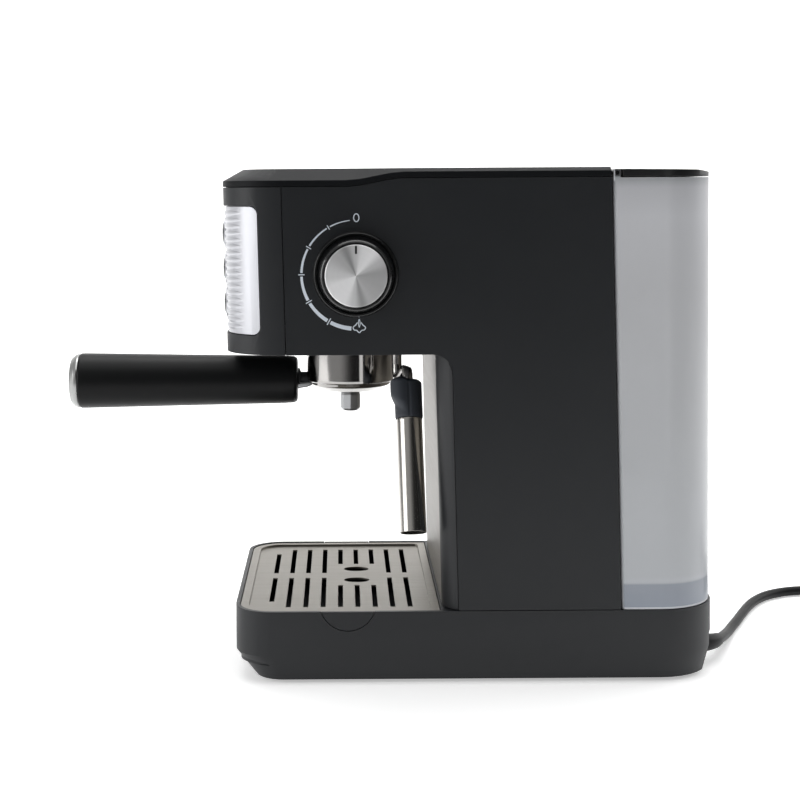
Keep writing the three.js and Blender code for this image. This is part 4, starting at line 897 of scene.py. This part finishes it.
# ---- steam wand ----
wand = {"foot": Vector((50.0, -41.7, 187.0)), "towards": Vector((0.384, 0.018, -1.0)).normalized(),
        "gripTop": -1.2, "gripEnd": 25.5, "gripRadius": 9.1, "gripInner": 3.8,
        "gripSides": 96, "gripRows": 40, "lobe": 2.6, "lobeRise": 1.6, "crease": 0.55, "creaseWidth": 0.07,
        "sleeveRadius": 8.5, "sleeveBore": 3.9, "sleeveWall": 0.9, "sleeveStart": 25.8, "sleeveEnd": 99.8}
wandAcross = Vector((0, -1, 0))
wandAcross = (wandAcross - wand["towards"] * wandAcross.dot(wand["towards"])).normalized()
wandOut = wandAcross.cross(wand["towards"])
if wandOut.x < 0:
    wandOut = -wandOut


def smooth01(value, low, high):
    share = max(0.0, min(1.0, (value - low) / (high - low)))
    return share * share * (3 - 2 * share)


def gripRadiusAt(turn, along):  # turn 0 faces the front, where the thumb lobe stands; a crease runs beside it
    lobeSide = smooth01(math.cos(turn), -0.1, 0.75)
    lobeEnd = 15.5 - 3.0 * math.cos(turn) + 6 * abs(math.sin(turn))
    lobe = wand["lobe"] * lobeSide * (1 - smooth01(along, lobeEnd - 5.5, lobeEnd + 2.5))
    crease = wand["crease"] * math.exp(-((math.cos(turn) + 0.02) / wand["creaseWidth"]) ** 2)
    topRound = 0.30 * (1 - smooth01(along, wand["gripTop"], wand["gripTop"] + 4.2)) ** 2
    footRound = 0.04 * smooth01(along, wand["gripEnd"] - 1.3, wand["gripEnd"])
    return (wand["gripRadius"] + lobe - crease) * (1 - topRound - footRound)


gripSpots = []
for row in range(wand["gripRows"] + 1):
    along = wand["gripTop"] + (wand["gripEnd"] - wand["gripTop"]) * row / wand["gripRows"]
    for side in range(wand["gripSides"]):
        turn = 2 * math.pi * side / wand["gripSides"]
        radius = gripRadiusAt(turn, along)
        nearTop = 1 - smooth01(along, wand["gripTop"], 8)
        rise = wand["lobeRise"] * smooth01(math.cos(turn), 0.0, 0.4) * nearTop
        spot = wand["foot"] + wand["towards"] * (max(along, 0.0) - rise)
        gripSpots.append(spot + wandAcross * (radius * math.cos(turn)) + wandOut * (radius * math.sin(turn)))
for along in (wand["gripEnd"], 0.2):
    gripSpots += ringPoints(wand["foot"] + wand["towards"] * along, wandAcross, wandOut, wand["gripInner"],
                            wand["gripSides"])
gripFaces = ringFaces(len(gripSpots) // wand["gripSides"], wand["gripSides"], looped=True)
grip = newPiece("wand_hold", [at(*spot) for spot in gripSpots], gripFaces)
finishPiece(grip, "wand_grip", "rubber", smooth=60)
sleeveInner = wand["sleeveRadius"] - wand["sleeveWall"]
sleeve = revolved("wand_sleeve", filleted([
    [wand["sleeveBore"], wand["sleeveStart"]], [wand["sleeveRadius"] - 0.1, wand["sleeveStart"], 0.3],
    [wand["sleeveRadius"], wand["sleeveStart"] + 1.2, 0.4], [wand["sleeveRadius"], wand["sleeveEnd"], 0.15],
    [sleeveInner, wand["sleeveEnd"], 0.15], [sleeveInner, wand["sleeveStart"] + 1.6],
    [wand["sleeveBore"], wand["sleeveStart"] + 1.6], [wand["sleeveBore"], wand["sleeveStart"]],
]), wand["foot"], wand["towards"], 96)
finishPiece(sleeve, "frother_sleeve", "sleeve", smooth=45)
refined("steam_pipe", "chrome", 0, smooth=60)
print("steam wand finished")


# ---- dark strip behind the seam of the top cover, which stops light through the gap: painted shade for the gap ----
seal = {"lip": 1.2, "lipThickness": 0.24, "inset": 3.4, "thickness": 0.7, "depth": 3.0, "rear": 80.0,
        "clearance": 0.08, "sideSteps": 24, "cornerSteps": 12}


def seamHeightAt(y):
    rise = smooth01(y, *machine["dip"])
    return machine["frontSeam"] + (machine["rearSeam"] - machine["frontSeam"]) * rise


def sealOutline(inset):
    front = leanAt(machine["headFront"], machine["frontSeam"]) + inset
    side = machine["halfWidth"] - inset
    radius = machine["headRadius"] - inset
    straight = (front + radius - seal["rear"]) / seal["sideSteps"]
    right = [(side, seal["rear"] + straight * step) for step in range(seal["sideSteps"] + 1)]
    for step in range(1, seal["cornerSteps"] + 1):
        turn = math.pi / 2 * step / seal["cornerSteps"]
        right.append((side - radius + radius * math.cos(turn), front + radius - radius * math.sin(turn)))
    return right + [(-x, y) for x, y in reversed(right)]


sealInsets = (seal["lip"], seal["inset"], seal["inset"] + seal["thickness"])
sealSpots = []
for (lipX, lipY), (x, y), (innerX, innerY) in zip(*(sealOutline(inset) for inset in sealInsets)):
    top = seamHeightAt(y) - seal["clearance"]
    underLip = top - seal["lipThickness"]
    foot = top - seal["depth"]
    sealSpots += [at(x, y, foot), at(x, y, underLip), at(lipX, lipY, underLip), at(lipX, lipY, top),
                  at(innerX, innerY, top), at(innerX, innerY, foot)]
sealFaces = ringFaces(len(sealSpots) // 6, 6, capped=True)
# a dark rubber strip that shows as painted shade in the seam
coverSeamShadeStrip = newPiece("cover_seam_shade_strip", sealSpots, sealFaces)
finishPiece(coverSeamShadeStrip, "top_cover", "foot", replaced=False)
print("seam sealed")


# ---- lid hinge ----
lidHinge = {"pivot": (88.06, 323.3), "radius": 2.3, "halfLength": 92.0}
barrel = revolved("lid_hinge_barrel", filleted([
    [0, -lidHinge["halfLength"]], [lidHinge["radius"], -lidHinge["halfLength"], 0.4],
    [lidHinge["radius"], lidHinge["halfLength"], 0.4], [0, lidHinge["halfLength"]],
]), (0, *lidHinge["pivot"]), (1, 0, 0), 32)
finishPiece(barrel, "tank_lid", "lidBlack", smooth=40, replaced=False)
print("lid hinge finished")


# ---- stage and light ----
stage = {"halfWidth": 3.0, "near": 0.8, "back": -2.2, "bend": 0.9, "bendSteps": 12, "height": 3.0,
         "level": -0.0002, "shade": 0.9, "roughness": 0.8, "glow": 0.42}
room = {"light": 0.42, "dim": 0.02, "dimTowards": (0.75, 0.66, 0.0), "dimFrom": 0.3, "dimTo": 0.85}
bendStart = stage["back"] + stage["bend"]
sweep = [(stage["near"], stage["level"]), (bendStart, stage["level"])]
for step in range(1, stage["bendSteps"] + 1):
    angle = math.pi / 2 * step / stage["bendSteps"]
    sweep.append((bendStart - stage["bend"] * math.sin(angle), stage["bend"] * (1 - math.cos(angle))))
sweep.append((stage["back"], stage["height"]))
floorPoints = [(x, side * stage["halfWidth"], z) for x, z in sweep for side in (-1, 1)]
floorFaces = [(2 * i, 2 * i + 1, 2 * i + 3, 2 * i + 2) for i in range(len(sweep) - 1)]
floorMesh = bpy.data.meshes.new("floor")
floorMesh.from_pydata(floorPoints, [], floorFaces)
for polygon in floorMesh.polygons:
    polygon.use_smooth = True
floor = newObject("floor", floorMesh)
floorMaterial = bpy.data.materials.new("paleFloor")
floorMaterial.use_nodes = True
floorShader = floorMaterial.node_tree.nodes["Principled BSDF"]
for label, value in (("Base Color", (stage["shade"], stage["shade"], stage["shade"], 1)),
                     ("Roughness", stage["roughness"]), ("Emission Color", (1, 1, 1, 1)),
                     ("Emission Strength", stage["glow"])):
    floorShader.inputs[label].default_value = value
floorMesh.materials.append(floorMaterial)

world = bpy.data.worlds.new("studio")
scene.world = world
world.use_nodes = True
sky = world.node_tree
direction = place(sky, "ShaderNodeTexCoord").outputs["Generated"]
facing = place(sky, "ShaderNodeVectorMath", {0: direction, 1: room["dimTowards"]}, operation="DOT_PRODUCT")
dimSide = place(sky, "ShaderNodeMapRange", {  # the room is dim on one side
    "Value": facing.outputs["Value"], "From Min": room["dimFrom"], "From Max": room["dimTo"],
    "To Min": room["light"], "To Max": room["dim"]}, interpolation_type="SMOOTHSTEP")
sky.nodes["Background"].inputs["Color"].default_value = (1, 1, 1, 1)
seen = place(sky, "ShaderNodeLightPath").outputs["Is Camera Ray"]  # the empty room itself looks plain white
strength = mathNode(sky, "MAXIMUM", seen, dimSide.outputs["Result"])
sky.links.new(strength, sky.nodes["Background"].inputs["Strength"])

lamps = {
    "frontSoftbox": {"place": (0.55, -1.7, 0.55), "aim": (0, -0.1, 0.2), "size": 1.0, "power": 10},
    "topSoftbox": {"place": (0.0, 0.1, 1.9), "aim": (0, 0.1, 0.0), "size": 2.2, "power": 26},
    "rearSoftbox": {"place": (-0.6, 1.7, 0.8), "aim": (0, 0.15, 0.2), "size": 0.9, "power": 7},
    "sideStrip": {"place": (1.9, 1.0, 0.0), "aim": (0, 0, 0), "size": 0.34, "tall": 1.3, "power": 1.7},
    "backdropLight": {"place": (-0.9, 0.0, 2.2), "aim": (-2.0, 0.0, 0.3), "size": 1.6, "power": 22},
}
for name, lamp in lamps.items():
    data = bpy.data.lights.new(name, "AREA")
    data.energy = lamp["power"]
    data.shape = "RECTANGLE"
    data.size = lamp["size"]
    data.size_y = lamp.get("tall", lamp["size"])
    item = newObject(name, data)
    turned = (Vector(lamp["aim"]) - Vector(lamp["place"])).to_track_quat("-Z", "Y").to_matrix().to_4x4()
    item.matrix_world = Matrix.Translation(lamp["place"]) @ turned
scene.view_settings.view_transform = "Standard"
print("stage lit")
